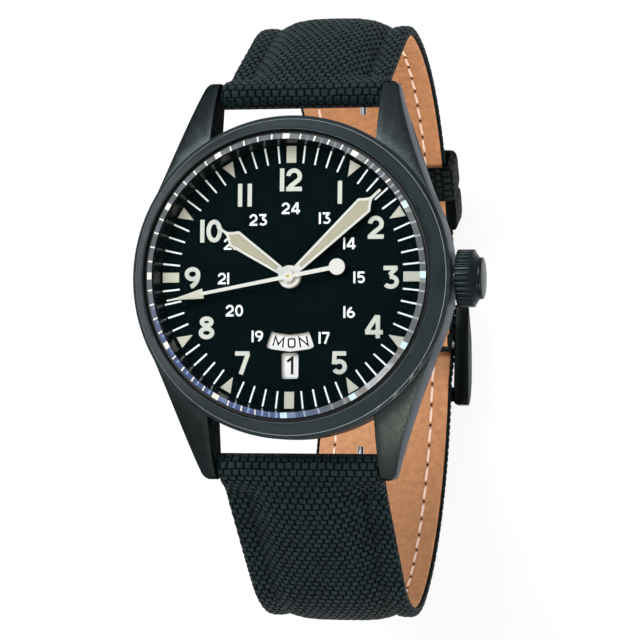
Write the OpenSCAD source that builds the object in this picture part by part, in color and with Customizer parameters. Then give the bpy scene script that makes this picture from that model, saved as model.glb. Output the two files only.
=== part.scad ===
// Field watch: coated steel case, self-winding movement with day and date,
// and a padded fabric strap with a leather lining and a pin buckle, shown buckled.
// Sizes are millimetres. The origin is the middle of the case back's outer face.
// +Z runs out through the crystal, +Y to 12 o'clock and +X to the crown.

/* [Case] */
// Diameter of the case without its crown
case_d = 42; // [41:0.25:44]
// Width between the lugs, which is the strap's nominal width
lug_gap = 22; // [21:0.25:23]
// Length over the lug tips
lug_to_lug = 52.4; // [51:0.2:54]
// Width of each lug at its tip
lug_tip_w = 2.1; // [1.9:0.1:2.5]
// Angle round the case at which the lugs leave it
lug_root_deg = 25; // [23:0.5:27]
// Hollow in the side of each lug, seen from the front
lug_hollow = 0.35; // [0.1:0.05:0.6]
// Radius of the dome that the tops of the lugs are turned to
lug_dome_r = 19; // [17:0.5:24]
// Height of the flank's lower edge above the case back
flank_z = 3.8; // [3.2:0.1:4.6]
// Angle that the flank is cut in below its lower edge
flank_cut = 22; // [15:1:26]
// Thickness of the case back's plate
back_t = 1.2; // [1:0.1:1.6]
// Width of the case outside the case back
back_rim_w = 1.8; // [1.6:0.05:2.2]
// Width of the case back outside its thread
thread_rim_w = 1.45; // [1.3:0.05:1.5]
// Height of the threaded neck of the case back
back_neck_h = 1.6; // [1.2:0.1:1.8]
// Number of key slots in the case back
back_slots = 6; // [4:1:8]
// Step from the case back's thread in to the bore of the case
bore_step = 0.1; // [0.05:0.01:0.15]

/* [Bezel and crystal] */
// Width of the case and bezel outside the crystal
crystal_rim_w = 2.7; // [2.6:0.05:2.9]
// Thickness of the crystal
crystal_t = 2.1; // [1.8:0.1:2.6]
// Width of the crystal's polished bevel
crystal_bevel = 0.7; // [0.4:0.1:0.9]
// Depth of the crystal's polished bevel
crystal_bevel_h = 0.4; // [0.2:0.1:0.6]
// Height that the crystal stands above the bezel
crystal_proud = 0.35; // [0.2:0.05:0.6]
// Thickness of the crystal gasket
gasket_t = 0.4; // [0.3:0.05:0.45]
// Height of the upright wall of the bezel
bezel_wall_h = 0.85; // [0.6:0.05:1.2]
// Width of the bezel's sloped face
bezel_face_w = 1.5; // [1.2:0.1:1.6]
// Width of the neck of the case under the bezel
neck_w = 1.9; // [1.6:0.1:2]
// Height of the inner ring between the dial and the crystal gasket
flange_h = 2.05; // [1.95:0.05:2.4]
// Radial width of the inner ring at the dial
flange_w = 0.75; // [0.6:0.05:0.8]

/* [Dial and calendar] */
// Gap between the dial and the bore of the case
dial_gap = 0.15; // [0.1:0.05:0.25]
// Thickness of the dial
dial_t = 0.4; // [0.3:0.05:0.5]
// Width of the date window
date_window_w = 2.3; // [2:0.1:2.6]
// Inner radius of the date window
date_window_r = 9.8; // [9.75:0.05:9.95]
// Length of the date window
date_window_l = 3.35; // [2.8:0.05:3.4]
// Inner radius of the day window
day_window_r = 7.45; // [7.2:0.05:7.8]
// Radial length of the day window
day_window_l = 2.2; // [1.8:0.05:2.25]
// Half the angle of the day window
day_window_deg = 19.6; // [16:0.2:22]
// Outer radius of the day disc
day_disc_r = 9.7; // [9.68:0.01:9.74]
// Outer radius of the date ring
date_ring_r = 12.9; // [12.8:0.05:13]

/* [Hands] */
// Length of the hour hand from its centre
hour_hand_l = 11.7; // [10:0.1:12.5]
// Length of the minute hand from its centre
minute_hand_l = 16.3; // [15:0.1:16.6]
// Length of the seconds hand from its centre
second_hand_l = 16.4; // [15:0.1:16.6]
// Greatest width of the hour and minute hands
hand_w = 2.3; // [1.8:0.1:2.6]
// Width of the metal edge of the hour and minute hands
hand_edge_w = 0.32; // [0.25:0.01:0.4]
// Thickness of each hand
hand_t = 0.15; // [0.12:0.01:0.18]
// Clear height between the hands
hand_step = 0.3; // [0.25:0.01:0.35]
// Distance of the seconds hand's round counterweight from its centre
counter_l = 6.5; // [5.5:0.1:7]
// Diameter of the round counterweight
counter_d = 2.1; // [1.6:0.1:2.4]
// Dial angle of the hour hand at rest, clockwise from 12
hour_deg = 304.1; // [0:0.1:360]
// Dial angle of the minute hand at rest, clockwise from 12
minute_deg = 46.9; // [0:0.1:360]
// Dial angle of the seconds hand at rest, clockwise from 12
second_deg = 259.1; // [0:0.1:360]

/* [Crown] */
// Diameter of the crown over its flutes
crown_d = 7.45; // [6.5:0.05:7.5]
// Length of the fluted part of the crown
crown_grip_l = 2.15; // [1.6:0.05:2.4]
// Length of the crown's chamfer
crown_chamfer_l = 0.6; // [0.5:0.05:1]
// Length of the raised end of the crown
crown_end_l = 0.55; // [0.4:0.05:0.9]
// Diameter of the raised end of the crown
crown_end_d = 5.45; // [5:0.05:5.8]
// Number of flutes on the crown
crown_flutes = 32; // [24:1:36]
// Outer diameter of the crown tube
crown_tube_d = 2.6; // [2.4:0.1:2.8]
// Diameter of the winding stem
stem_d = 1.2; // [1:0.05:1.3]
// Travel of the crown from its seat to the hand-setting position
crown_travel = 1.6; // [1:0.1:1.8]

/* [Movement] */
// Diameter of the movement
movement_d = 27.4; // [27.2:0.1:27.8]
// Thickness of the movement, from its dial seat to the rotor
movement_t = 5.3; // [5.25:0.05:5.6]
// Depth of the stem below the dial seat
stem_depth = 2.6; // [2.55:0.05:2.65]
// Gap between the case back and the rotor
rotor_room = 0.6; // [0.4:0.05:1]
// Distance of the barrel from the centre
barrel_l = 6.8; // [6.7:0.05:6.85]
// Distance of the third wheel from the centre
third_l = 4.6; // [4.5:0.05:4.65]
// Distance of the escape wheel from the centre
escape_l = 4.6; // [4.56:0.02:4.66]
// Distance of the balance from the centre
balance_l = 9.3; // [9.25:0.05:9.35]
// Distance of the minute wheel from the centre
motion_l = 3.6; // [3.5:0.05:3.65]
// Radius of the balance wheel
balance_r = 3.5; // [3.3:0.05:3.5]
// Inner radius of the rotor's heavy rim
rotor_rim_r = 9.6; // [9.4:0.1:11]

/* [Strap] */
// Width of the strap at the lugs
strap_w = 21.6; // [21:0.1:21.7]
// Width of the strap at the buckle
strap_tip_w = 20; // [19:0.1:20.4]
// Thickness of the strap where it wraps a spring bar at the lugs
strap_end_t = 3.4; // [3:0.1:3.6]
// Thickness of the strap along its padded middle
strap_mid_t = 2; // [1.9:0.05:2.2]
// Thickness of the strap's rolled edges
strap_edge_t = 1.5; // [1.4:0.05:1.7]
// Distance of the inside of the loop from the middle of each lug bar
bar_lead = 0.9; // [0.8:0.05:1.1]
// Thickness of the leather lining
lining_t = 0.8; // [0.6:0.05:0.9]
// Width of the rolled edges outside the stitched channel
roll_w = 2.9; // [2.4:0.1:3.4]
// Depth of the stitched channel
channel_h = 0.35; // [0.2:0.05:0.4]
// Thickness of the short strap where it wraps the buckle's bar
buckle_end_t = 2.4; // [2.3:0.05:2.5]
// Thickness of the long strap's tail
tail_t = 1.6; // [1.5:0.05:1.7]
// Height of the case back above the inside of the loop's lowest stretch
loop_drop = 59.5; // [56:0.5:62]
// Angle at which the short strap leaves the lugs, below the dial's plane
lug_slope_12 = 60; // [56:1:64]
// Angle at which the long strap leaves the lugs, below the dial's plane
lug_slope_6 = 50; // [47:1:54]
// Radius of the loop's first bend below 12 o'clock
upper_bend_12 = 15; // [14:0.5:16]
// Radius of the loop's long bend below 12 o'clock
lower_bend_12 = 38; // [37:0.5:39]
// Radius of the loop's first bend below 6 o'clock
upper_bend_6 = 18; // [17:0.5:19]
// Radius of the loop's long bend below 6 o'clock
lower_bend_6 = 39; // [38:0.5:40]
// Length of the short strap from its lug bar to the buckle bar
short_l = 88.7; // [87.7:0.2:89.7]
// Length of the long strap's tail beyond the buckle bar
tail_l = 29; // [26:0.5:31]

/* [Keepers and buckle] */
// Distance of the fixed keeper from the buckle bar
fixed_keeper_l = 19.6; // [19:0.1:20.5]
// Width of the fixed keeper
fixed_keeper_w = 4.9; // [4.5:0.1:5.4]
// Width of the free keeper
free_keeper_w = 5.6; // [5:0.1:6]
// Gap between the two keepers
keeper_gap = 0.25; // [0.2:0.05:0.6]
// Height of the fixed keeper's outer edge above the foot of the buckle
keeper_rise = 0.9; // [0.6:0.1:1.4]
// Thickness of the keepers
keeper_t = 1.2; // [1:0.05:1.4]
// Width of each side arm of the buckle
arm_w = 2; // [1.6:0.1:2.2]
// Diameter of the buckle's crossbar
crossbar_d = 2.2; // [1.8:0.1:2.4]
// Distance from the buckle bar to the crossbar
crossbar_l = 7.1; // [6.8:0.1:7.6]
// Width of the buckle's tongue
tongue_w = 1.9; // [1.6:0.1:2.1]
// Diameter of the buckle bar
buckle_bar_d = 1.5; // [1.3:0.05:1.6]

/* [Spring bars] */
// Diameter of the spring bars
bar_d = 1.8; // [1.5:0.1:2]
// Diameter of the pins of the spring bars
bar_pin_d = 0.8; // [0.7:0.05:0.9]
// Length of pin that enters each lug
bar_pin_l = 0.9; // [0.7:0.05:1]
// Distance of each spring bar from the lug tips
bar_inset = 1.8; // [1.6:0.05:2]
// Height of the spring bars above the case back
bar_z = 1.9; // [1.7:0.05:2.2]
// Travel of the quick-release knobs
release_travel = 1.2; // [1:0.05:1.3]

/* [Clearances] */
// Radial clearance of a shaft in its bore
run_gap = 0.04; // [0.02:0.01:0.06]
// Radial clearance of a piece that is set in another
seat_gap = 0.03; // [0.01:0.01:0.05]
// Clearance beside fabric and leather
soft_gap = 0.2; // [0.15:0.05:0.3]

/* [Hidden] */
$fn = 96;

// Levels of the case, from the case back up
case_r = case_d / 2;
back_d = case_d - 2 * back_rim_w;
back_thread_d = back_d - 2 * thread_rim_w;
case_bore_d = back_thread_d - 2 * bore_step;
crystal_d = case_d - 2 * crystal_rim_w;
dial_d = case_bore_d - 2 * dial_gap;
rotor_z = back_t + rotor_room;
seat_z = rotor_z + movement_t;
dial_z = seat_z + dial_t;
flange_z = dial_z + seat_gap;
neck_z = flange_z + flange_h;
crystal_z = neck_z + gasket_t;
crystal_top = crystal_z + crystal_t;
bezel_top = crystal_top - crystal_proud;
case_top = dial_z + 0.5;
stem_z = seat_z - stem_depth;
crystal_r = crystal_d / 2;
neck_r = case_r - 1.1;
flange_r = neck_r - neck_w;

// Levels of the movement, from the dial seat down
well_z = seat_z - 0.75;
recess_z = well_z - 0.75;
plate_z = seat_z - 2.5;
bridge_z = plate_z - 1.25;
bridge_t = 0.6;
pallet_bridge_z = bridge_z + 0.41;
fork_z = bridge_z + 0.65;
movement_r = movement_d / 2;
rim_r = date_ring_r + 0.1;

// Directions of the wheels from the centre
barrel_deg = 68;
third_deg = -60;
escape_deg = 195;
motion_deg = 90;

// Teeth of the wheels and pinions
barrel_teeth = 96;
centre_pinion_teeth = 12;
centre_teeth = 64;
third_pinion_teeth = 8;
third_teeth = 60;
fourth_pinion_teeth = 8;
fourth_teeth = 70;
escape_pinion_teeth = 7;
escape_teeth = 15;
cannon_teeth = 12;
minute_teeth = 36;
minute_pinion_teeth = 10;
hour_teeth = 40;
date_teeth = 31;

// Pitch radii, from the distances between the arbors
function pitch(own, other, distance) = distance * own / (own + other);
escape_r = 2.2;
pallet_l = 2.9;
balance_from_escape = balance_l - escape_l;

// Arbors, pivots and the tubes of the hands
arbor_r = 0.25;
pivot_r = 0.1;
jewel_r = 0.5;
second_arbor_r = 0.25;
centre_tube_r = 0.45;
cannon_r = 0.8;
hour_tube_r = 1.15;

// Levels of the hands
hour_z = dial_z + 0.45;
minute_z = hour_z + hand_t + hand_step;
second_z = minute_z + hand_t + hand_step;
second_top = second_z + 0.25;

// Spring bars and lug holes
bar_y = lug_to_lug / 2 - bar_inset;
bar_r = bar_d / 2;
pin_r = bar_pin_d / 2;
hole_r = pin_r + 0.05;
bar_half = lug_gap / 2 - 0.1;

// Bends of the loop, each a radius and an angle, from the lugs to the lowest stretch
bends_12 = [[upper_bend_12, 34], [lower_bend_12, 86]];
bends_6 = [[upper_bend_6, 64], [lower_bend_6, 66]];
function drop_of(bends, slope, i = 0) = i == len(bends) ? 0
    : bends[i][0] * (cos(slope) - cos(slope + bends[i][1]))
        + drop_of(bends, slope + bends[i][1], i + 1);
function reach_of(bends, slope, i = 0) = i == len(bends) ? 0
    : bends[i][0] * (sin(slope + bends[i][1]) - sin(slope))
        + reach_of(bends, slope + bends[i][1], i + 1);
start_12 = [bar_y - bar_lead * sin(lug_slope_12), bar_z - bar_lead * cos(lug_slope_12)];
start_6 = [bar_y - bar_lead * sin(lug_slope_6), bar_z - bar_lead * cos(lug_slope_6)];
last_12 = 180 - lug_slope_12 - bends_12[0][1];
last_6 = 180 - lug_slope_6 - bends_6[0][1];
turns_12 = [bends_12[0], [bends_12[1][0], last_12]];
turns_6 = [bends_6[0], [bends_6[1][0], last_6]];
run_12 = (start_12[1] + loop_drop - drop_of(turns_12, lug_slope_12)) / sin(lug_slope_12);
run_6 = (start_6[1] + loop_drop - drop_of(turns_6, lug_slope_6)) / sin(lug_slope_6);
flat_l = start_12[0] + start_6[0] + run_12 * cos(lug_slope_12) + reach_of(turns_12, lug_slope_12)
    + run_6 * cos(lug_slope_6) + reach_of(turns_6, lug_slope_6);
function bend_step(bend) = [bend[0] * bend[1] * PI / 180, bend[1]];
steps = [[run_12, 0], bend_step(turns_12[0]), bend_step(turns_12[1]), [flat_l, 0],
    bend_step(turns_6[1]), bend_step(turns_6[0]), [run_6, 0]];
function total(list, i = 0) = i == len(list) ? 0 : list[i][0] + total(list, i + 1);
loop_l = total(steps);

// A place on the inside of the loop: its y, z and heading, s from the spring bar at 12
function moved(at, l, turn) = turn == 0
    ? [at[0] + l * cos(at[2]), at[1] + l * sin(at[2]), at[2]]
    : let (r = l / (turn * PI / 180))
        [at[0] + r * (sin(at[2]) - sin(at[2] - turn)), at[1] + r * (cos(at[2] - turn) - cos(at[2])),
         at[2] - turn];
function loop_at(s, i = 0, at = [start_12[0], start_12[1], -lug_slope_12]) =
    i == len(steps) - 1 || s <= steps[i][0]
        ? moved(at, s, steps[i][1] * s / steps[i][0])
        : loop_at(s - steps[i][0], i + 1, moved(at, steps[i][0], steps[i][1]));
function outward(at, n) = [at[0] - n * sin(at[2]), at[1] + n * cos(at[2])];

// Buckle and keepers along the loop
crossbar_s = short_l + crossbar_l;
tail_s = short_l - tail_l;
fixed_keeper_s = short_l - fixed_keeper_l;
free_keeper_s = fixed_keeper_s - (fixed_keeper_w + free_keeper_w) / 2 - keeper_gap;
pivot = outward(loop_at(short_l), buckle_end_t / 2);
crossbar_n = strap_mid_t + soft_gap + crossbar_d / 2;
crossbar = outward(loop_at(crossbar_s), crossbar_n);
arm_x = strap_tip_w / 2 + 0.4;

// Blends and thicknesses of the strap, where d is the distance from the wrapped bar
function smooth(t) = let (u = min(1, max(0, t))) u * u * (3 - 2 * u);
function mix(a, b, t) = a + (b - a) * smooth(t);
function nose(end_t, d) = d >= 0 ? end_t / 2 : sqrt(max(0.04, end_t * end_t / 4 - d * d));
function crown_of(end_t, mid_t, d, l) = d < 0 ? end_t / 2 + nose(end_t, d)
    : mix(end_t, mid_t, (d - l / 5) / l);
function edge_of(end_t, d, l) = d < 0 ? end_t / 2 + nose(end_t, d) : mix(end_t, strap_edge_t, d / l);
function floor_of(end_t, d) = d < 0 ? end_t / 2 - nose(end_t, d) : d > 1.5 ? lining_t : 0;
function sunk(d) = -(strap_end_t / 2 - bar_lead) * (1 - smooth(d / 8));
function raised(points, n) = [for (p = points) [p[0], p[1] + n]];
function half_width(d) = (strap_w + (strap_tip_w - strap_w) * smooth(d / 75)) / 2;

// Height of the long strap above the inside of the loop, where it crosses to the outside
lift_end = buckle_end_t + 0.15;
lift_keeper = strap_mid_t + 0.15;
function lift(s) = s > short_l - 4 ? lift_end * (1 - smooth((s - short_l - 0.4) / 6))
    : mix(lift_keeper, lift_end, (s - short_l + 14) / 10);

// Half of a strap section from its edge to its middle, at width w, floor f, edge e and crown c
function half_section(w, f, e, c, cut) = let (k = min(1, w / 9), roll = w - k * roll_w)
    [[w, f], [w, e - 0.3], [w - 0.35 * k, e], [roll + 0.6 * k, e], [roll, e - cut],
     [roll - 0.6 * k, e + (c - e) * 0.25], [roll - 2.4 * k, e + (c - e) * 0.7],
     [w * 0.3, e + (c - e) * 0.95]];
function mirrored(points) = [for (i = [len(points) - 1:-1:0]) [-points[i][0], points[i][1]]];
function section(w, f, e, c, cut) = let (half = half_section(w, f, e, c, cut))
    concat(half, [[0, c]], mirrored(half));
function placed(at, points) = [for (p = points) let (q = outward(at, p[1])) [p[0], q[0], q[1]]];

// Skin over a row of rings that each have the same number of points
module skin(rings) {
    n = len(rings[0]);
    last = len(rings) - 1;
    polyhedron(points = [for (ring = rings) each ring], faces = concat(
        [[for (j = [n - 1:-1:0]) j]],
        [[for (j = [0:n - 1]) last * n + j]],
        [for (i = [0:last - 1], j = [0:n - 1]) [i * n + j, i * n + (j + 1) % n, (i + 1) * n + j]],
        [for (i = [0:last - 1], j = [0:n - 1])
            [i * n + (j + 1) % n, (i + 1) * n + (j + 1) % n, (i + 1) * n + j]]));
}

// Stations along a strap: close together in the wrapped nose, then evenly spaced
function stations(end_t, l, tail_noses) = concat(
    [for (a = [80, 62, 42, 21]) -end_t / 2 * sin(a)], [0, 0.8, 1.45, 1.55, 2.6, 3.8, 5],
    [for (i = [1:ceil((l - 12) / 3)]) 5 + i * (l - 12) / ceil((l - 12) / 3)], tail_noses);

// Outline helpers in the plane of the loop: 2D x runs along Y, 2D y along Z
module across(half) {
    rotate([90, 0, 90]) translate([0, 0, -half]) linear_extrude(2 * half) children();
}

module at_station(s) {
    at = loop_at(s);
    translate([0, at[0], at[1]]) rotate([at[2] + 90, 0, 0]) children();
}

module along_x(x, r, l) {
    translate([x, 0, 0]) rotate([0, 90, 0]) cylinder(r = r, h = l);
}

module polar(r, deg) {
    translate([r * cos(deg), r * sin(deg), 0]) children();
}

module disc(r, z0, z1) {
    translate([0, 0, z0]) cylinder(r = r, h = z1 - z0);
}

module ring(r0, r1, z0, z1) {
    translate([0, 0, z0]) linear_extrude(z1 - z0) difference() {
        circle(r1);
        circle(r0);
    }
}

// Tooth outline of a gear, with its first tooth on the x axis
function gear_points(teeth, r) = let (m = 2 * r / teeth, step = 360 / teeth)
    [for (i = [0:teeth - 1], p = [[-0.29, r - 1.1 * m], [-0.12, r + 0.8 * m], [0.12, r + 0.8 * m],
        [0.29, r - 1.1 * m]]) let (a = (i + p[0]) * step) [p[1] * cos(a), p[1] * sin(a)]];

module gear(teeth, r, z0, z1, deg = 0, bore = 0) {
    translate([0, 0, z0]) linear_extrude(z1 - z0) difference() {
        rotate(deg) polygon(gear_points(teeth, r));
        if (bore > 0) circle(bore);
    }
}

// Spokes cut between a hub and a rim
module spoke_cuts(count, r0, r1, z0, z1, spoke_w) {
    translate([0, 0, z0]) linear_extrude(z1 - z0) difference() {
        circle(r1);
        circle(r0);
        for (i = [0:count - 1]) rotate(i * 360 / count) translate([0, -spoke_w / 2])
            square([r1 + 1, spoke_w]);
    }
}

// Flat spiral of constant width, from radius r0 to r1
function spiral_line(r0, r1, turns, points) = [for (i = [0:points])
    let (a = 360 * turns * i / points, r = r0 + (r1 - r0) * i / points) [r * cos(a), r * sin(a)]];
function reversed(list) = [for (i = [len(list) - 1:-1:0]) list[i]];

module spiral(r0, r1, turns, w, z0, z1) {
    points = turns * 24;
    translate([0, 0, z0]) linear_extrude(z1 - z0) polygon(concat(
        spiral_line(r0 + w / 2, r1 + w / 2, turns, points),
        reversed(spiral_line(r0 - w / 2, r1 - w / 2, turns, points))));
}

// Arbor with a pivot at each end, between the bridge and the mainplate
module arbor() {
    disc(arbor_r, bridge_z + 0.05, plate_z - 0.05, $fn = 32);
    disc(pivot_r, bridge_z - 0.35, plate_z + 0.3, $fn = 32);
}

// Lug seen from the front: it leaves the round case and runs, slightly hollow, to a rounded tip
lug_tip_y = lug_to_lug / 2;
lug_root = [(case_r + 0.05) * cos(lug_root_deg), (case_r + 0.05) * sin(lug_root_deg)];
lug_end = [lug_gap / 2 + lug_tip_w, lug_tip_y - 1];
lug_deg = atan((lug_root[0] - lug_end[0]) / (lug_end[1] - lug_root[1]));
lug_l = norm(lug_end - lug_root);

function along_lug(t) = [
    lug_root[0] + (lug_end[0] - lug_root[0]) * t - 4 * lug_hollow * t * (1 - t) * cos(lug_deg),
    lug_root[1] + (lug_end[1] - lug_root[1]) * t - 4 * lug_hollow * t * (1 - t) * sin(lug_deg)];

module lug_plan() {
    intersection() {
        translate([lug_gap / 2, 0]) square([case_r, lug_tip_y]);
        offset(r = 1.2, $fn = 48) offset(delta = -1.2) polygon(concat(
            [[0, 0]],
            [for (i = [0:6]) let (a = lug_root_deg * i / 6)
                [(case_r + 0.05) * cos(a), (case_r + 0.05) * sin(a)]],
            [for (i = [1:10]) along_lug(i / 10)],
            [[lug_end[0] - 0.3, lug_tip_y], [0, lug_tip_y]]));
    }
}

// Top of the case and lugs: flat under the bezel, then a turned dome
module top_dome() {
    rotate_extrude($fn = 180) polygon(concat([[0, -1], [0, case_top]],
        [for (a = [22:4:62]) [case_r + 0.2 + lug_dome_r * (sin(a) - sin(22)),
            case_top + lug_dome_r * (cos(a) - cos(22))]],
        [[case_r + 0.2 + lug_dome_r * (sin(62) - sin(22)), -1]]));
}

// Lug seen from the side: a rounded tip and a foot level with the case back
module lug_side() {
    polygon([[0, back_t], [0, case_top + 1], [lug_tip_y - 1.2, case_top + 1], [lug_tip_y - 0.9, 4.4],
        [lug_tip_y - 0.35, 3.2], [lug_tip_y, 1.8], [lug_tip_y, 0.9], [lug_tip_y - 0.3, 0.3],
        [lug_tip_y - 0.9, 0], [lug_tip_y - 3.5, 0.1], [lug_tip_y - 9, back_t]]);
}

// The cut that leans the flank in below its lower edge, which drops towards the tip
module flank_cut_shape() {
    deep = flank_z + 2;
    polygon([[0, 0], [5, 0], [5, -deep], [-deep * tan(flank_cut), -deep]]);
}

module lug() {
    drop_deg = atan((flank_z - 0.3) / lug_l);
    difference() {
        intersection() {
            translate([0, 0, -1]) linear_extrude(case_top + 1) lug_plan();
            translate([case_r, 0, 0]) across(case_r) lug_side();
            top_dome();
        }
        rotate_extrude(angle = lug_root_deg, $fn = 180) translate([case_r + 0.05, flank_z])
            flank_cut_shape();
        translate([lug_root[0] - lug_hollow / 2, lug_root[1], flank_z]) rotate([0, 0, lug_deg])
            rotate([90 + drop_deg, 0, 180]) translate([0, 0, -1]) mirror([1, 0, 0])
                linear_extrude(25) flank_cut_shape();
        disc(neck_r - 1, -1, case_top + 1, $fn = 180);
    }
}

module case_body() {
    color("#343c3e") difference() {
        union() {
            rotate_extrude($fn = 180) polygon([
                [back_thread_d / 2 + seat_gap * 2, back_t], [back_d / 2 + 0.2, back_t],
                [case_r - 0.25, flank_z - 0.5], [case_r, flank_z], [case_r, case_top],
                [neck_r, case_top], [neck_r, neck_z], [flange_r, neck_z], [flange_r, flange_z],
                [case_bore_d / 2, flange_z], [case_bore_d / 2, back_t + back_neck_h + 0.3],
                [back_thread_d / 2 + seat_gap * 2, back_t + back_neck_h + 0.3]]);
            for (sx = [0, 1], sy = [0, 1]) mirror([sx, 0, 0]) mirror([0, sy, 0]) lug();
        }
        translate([0, 0, stem_z]) along_x(case_r - 5, crown_tube_d / 2 + seat_gap, 8);
        ring((back_thread_d + 0.9) / 2, (back_thread_d + 2.5) / 2, back_t - 1, back_t + 0.6);
        for (sy = [-1, 1]) translate([0, sy * bar_y, bar_z])
            along_x(-lug_gap / 2 - bar_pin_l - 0.2, hole_r, lug_gap + 2 * bar_pin_l + 0.4, $fn = 32);
    }
}

module bezel() {
    foot_r = case_r;
    edge_r = case_r - 0.55;
    color("#4b5054") rotate_extrude($fn = 180) polygon([
        [neck_r + seat_gap, case_top], [foot_r, case_top], [foot_r, case_top + bezel_wall_h - 0.1],
        [foot_r - 0.08, case_top + bezel_wall_h], [edge_r + 0.06, case_top + bezel_wall_h + 0.28],
        [edge_r, case_top + bezel_wall_h + 0.36], [edge_r - bezel_face_w + 0.1, bezel_top - 0.08],
        [edge_r - bezel_face_w, bezel_top], [crystal_r + gasket_t + seat_gap, bezel_top - 0.15],
        [crystal_r + gasket_t + seat_gap, neck_z + seat_gap],
        [neck_r + seat_gap, neck_z + seat_gap]]);
}

module crystal() {
    color("#cfe0ea", 0.35) rotate_extrude($fn = 180) polygon([[0, crystal_z], [crystal_r, crystal_z],
        [crystal_r, crystal_top - crystal_bevel_h], [crystal_r - crystal_bevel, crystal_top],
        [0, crystal_top]]);
}

module crystal_gasket() {
    color("#0c0d0e") rotate_extrude($fn = 120) polygon([[flange_r, neck_z],
        [crystal_r + gasket_t, neck_z], [crystal_r + gasket_t, bezel_top - 0.7],
        [crystal_r + seat_gap, bezel_top - 0.7], [crystal_r + seat_gap, crystal_z],
        [flange_r, crystal_z]]);
}

module flange_ring() {
    outer = flange_r - seat_gap;
    color("#0e1214") rotate_extrude($fn = 120) polygon([[outer - flange_w, flange_z],
        [outer, flange_z], [outer, neck_z], [outer - 0.25, neck_z]]);
}

// Day window: a slice of a ring, with its corners rounded
module day_window() {
    r1 = day_window_r + day_window_l;
    offset(r = 0.25, $fn = 24) offset(delta = -0.25) intersection() {
        difference() {
            circle(r1);
            circle(day_window_r);
        }
        polygon([[0, 0], for (s = [-1, 1]) [s * 15 * sin(day_window_deg), -15 * cos(day_window_deg)]]);
    }
}

module date_window() {
    offset(r = 0.35, $fn = 24) offset(delta = -0.35)
        translate([-date_window_w / 2, -date_window_r - date_window_l])
            square([date_window_w, date_window_l]);
}

module dial_feet(r) {
    for (a = [-52, 142]) polar((rim_r + movement_r) / 2, a) disc(r, seat_z - 0.9, seat_z, $fn = 24);
}

module dial() {
    color("#060b0b") {
        translate([0, 0, seat_z]) linear_extrude(dial_t) difference() {
            circle(dial_d / 2);
            circle(hour_tube_r + 0.2);
            day_window();
            date_window();
        }
        dial_feet(0.22);
    }
}

module case_back() {
    thread_r = back_thread_d / 2;
    color("#3a4042") difference() {
        rotate_extrude($fn = 180) polygon([[0, 0], [back_d / 2 - 1.4, 0], [back_d / 2, 0.7],
            [back_d / 2, back_t], [thread_r, back_t], [thread_r, back_t + back_neck_h],
            [thread_r - 1.3, back_t + back_neck_h], [thread_r - 1.3, back_t], [0, back_t]]);
        for (i = [0:back_slots - 1]) rotate(i * 360 / back_slots)
            translate([thread_r - 1.8, -1.5, -1]) cube([1.7, 3, 1.6]);
    }
}

module case_back_gasket() {
    color("#111314") translate([0, 0, back_t + 0.3]) rotate_extrude()
        translate([(back_thread_d + 1.7) / 2, 0]) circle(0.28, $fn = 24);
}

module movement_holder() {
    color("#d8d6cc") difference() {
        ring(movement_r + seat_gap, case_bore_d / 2 - seat_gap, back_t + back_neck_h + 0.4,
            seat_z - 0.1, $fn = 120);
        translate([0, 0, stem_z]) along_x(movement_r - 1, stem_d / 2 + 0.3,
            case_bore_d / 2 - movement_r + 3);
    }
}

module crown_tube() {
    color("#55595c") translate([case_bore_d / 2 + 0.1, 0, stem_z]) rotate([0, 90, 0]) difference() {
        cylinder(r = crown_tube_d / 2, h = case_r + 1.4 - case_bore_d / 2);
        translate([0, 0, -1]) cylinder(r = stem_d / 2 + run_gap, h = 10);
    }
}

// Places of the pivots between the bridge and the mainplate
module at_barrel() { polar(barrel_l, barrel_deg) children(); }
module at_third() { polar(third_l, third_deg) children(); }
module at_escape() { polar(escape_l, escape_deg) children(); }
module at_pallet() { polar(escape_l + pallet_l, escape_deg) children(); }
module at_balance() { polar(balance_l, escape_deg) children(); }

module pivot_holes(r, z0, z1) {
    at_third() disc(r, z0, z1, $fn = 24);
    at_escape() disc(r, z0, z1, $fn = 24);
    at_pallet() disc(r, z0, z1, $fn = 24);
    at_balance() disc(r, z0, z1, $fn = 24);
}

module mainplate() {
    color("#b9bcbd") {
        difference() {
            disc(movement_r, plate_z, seat_z, $fn = 120);
            disc(rim_r, well_z, seat_z + 1, $fn = 120);
            disc(motion_l + 3.05, recess_z, seat_z + 1);
            disc(centre_tube_r + run_gap, plate_z - 1, seat_z);
            pivot_holes(pivot_r + run_gap, plate_z - 1, plate_z + 0.6);
            at_barrel() disc(0.5 + run_gap, plate_z - 1, plate_z + 0.6);
            translate([7.2, -stem_d / 2 - 0.6, plate_z - 1]) cube([8, stem_d + 1.2, 2.1]);
            dial_feet(0.22 + run_gap);
            screw_places() disc(0.3 + seat_gap, plate_z - 1, plate_z + 0.9, $fn = 24);
        }
        polar(motion_l, motion_deg) disc(0.3, recess_z - 0.1, well_z - 0.06, $fn = 32);
    }
}

module calendar_plate() {
    color("#c8cacb") ring(hour_tube_r + 0.15, day_disc_r - 0.7, well_z, well_z + 0.11);
}

// Three bridge screws stand clear of the wheels, and one holds the balance cock
module screw_places() {
    for (a = [-82, -25, 135]) polar(11.3, a) children();
    polar(11.5, escape_deg + 34) children();
}

module cock_room() {
    at_balance() disc(4.4, bridge_z - 2, plate_z + 1);
    polar(11.5, escape_deg + 34) disc(2.9, bridge_z - 2, plate_z + 1);
    polar(13, escape_deg + 18) disc(4, bridge_z - 2, plate_z + 1);
}

module bridge_rim() {
    difference() {
        ring(movement_r - 0.6, movement_r - 0.1, bridge_z, plate_z, $fn = 120);
        cock_room();
        translate([8, -1.6, bridge_z - 1]) cube([8, 3.2, 4]);
    }
}

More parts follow.
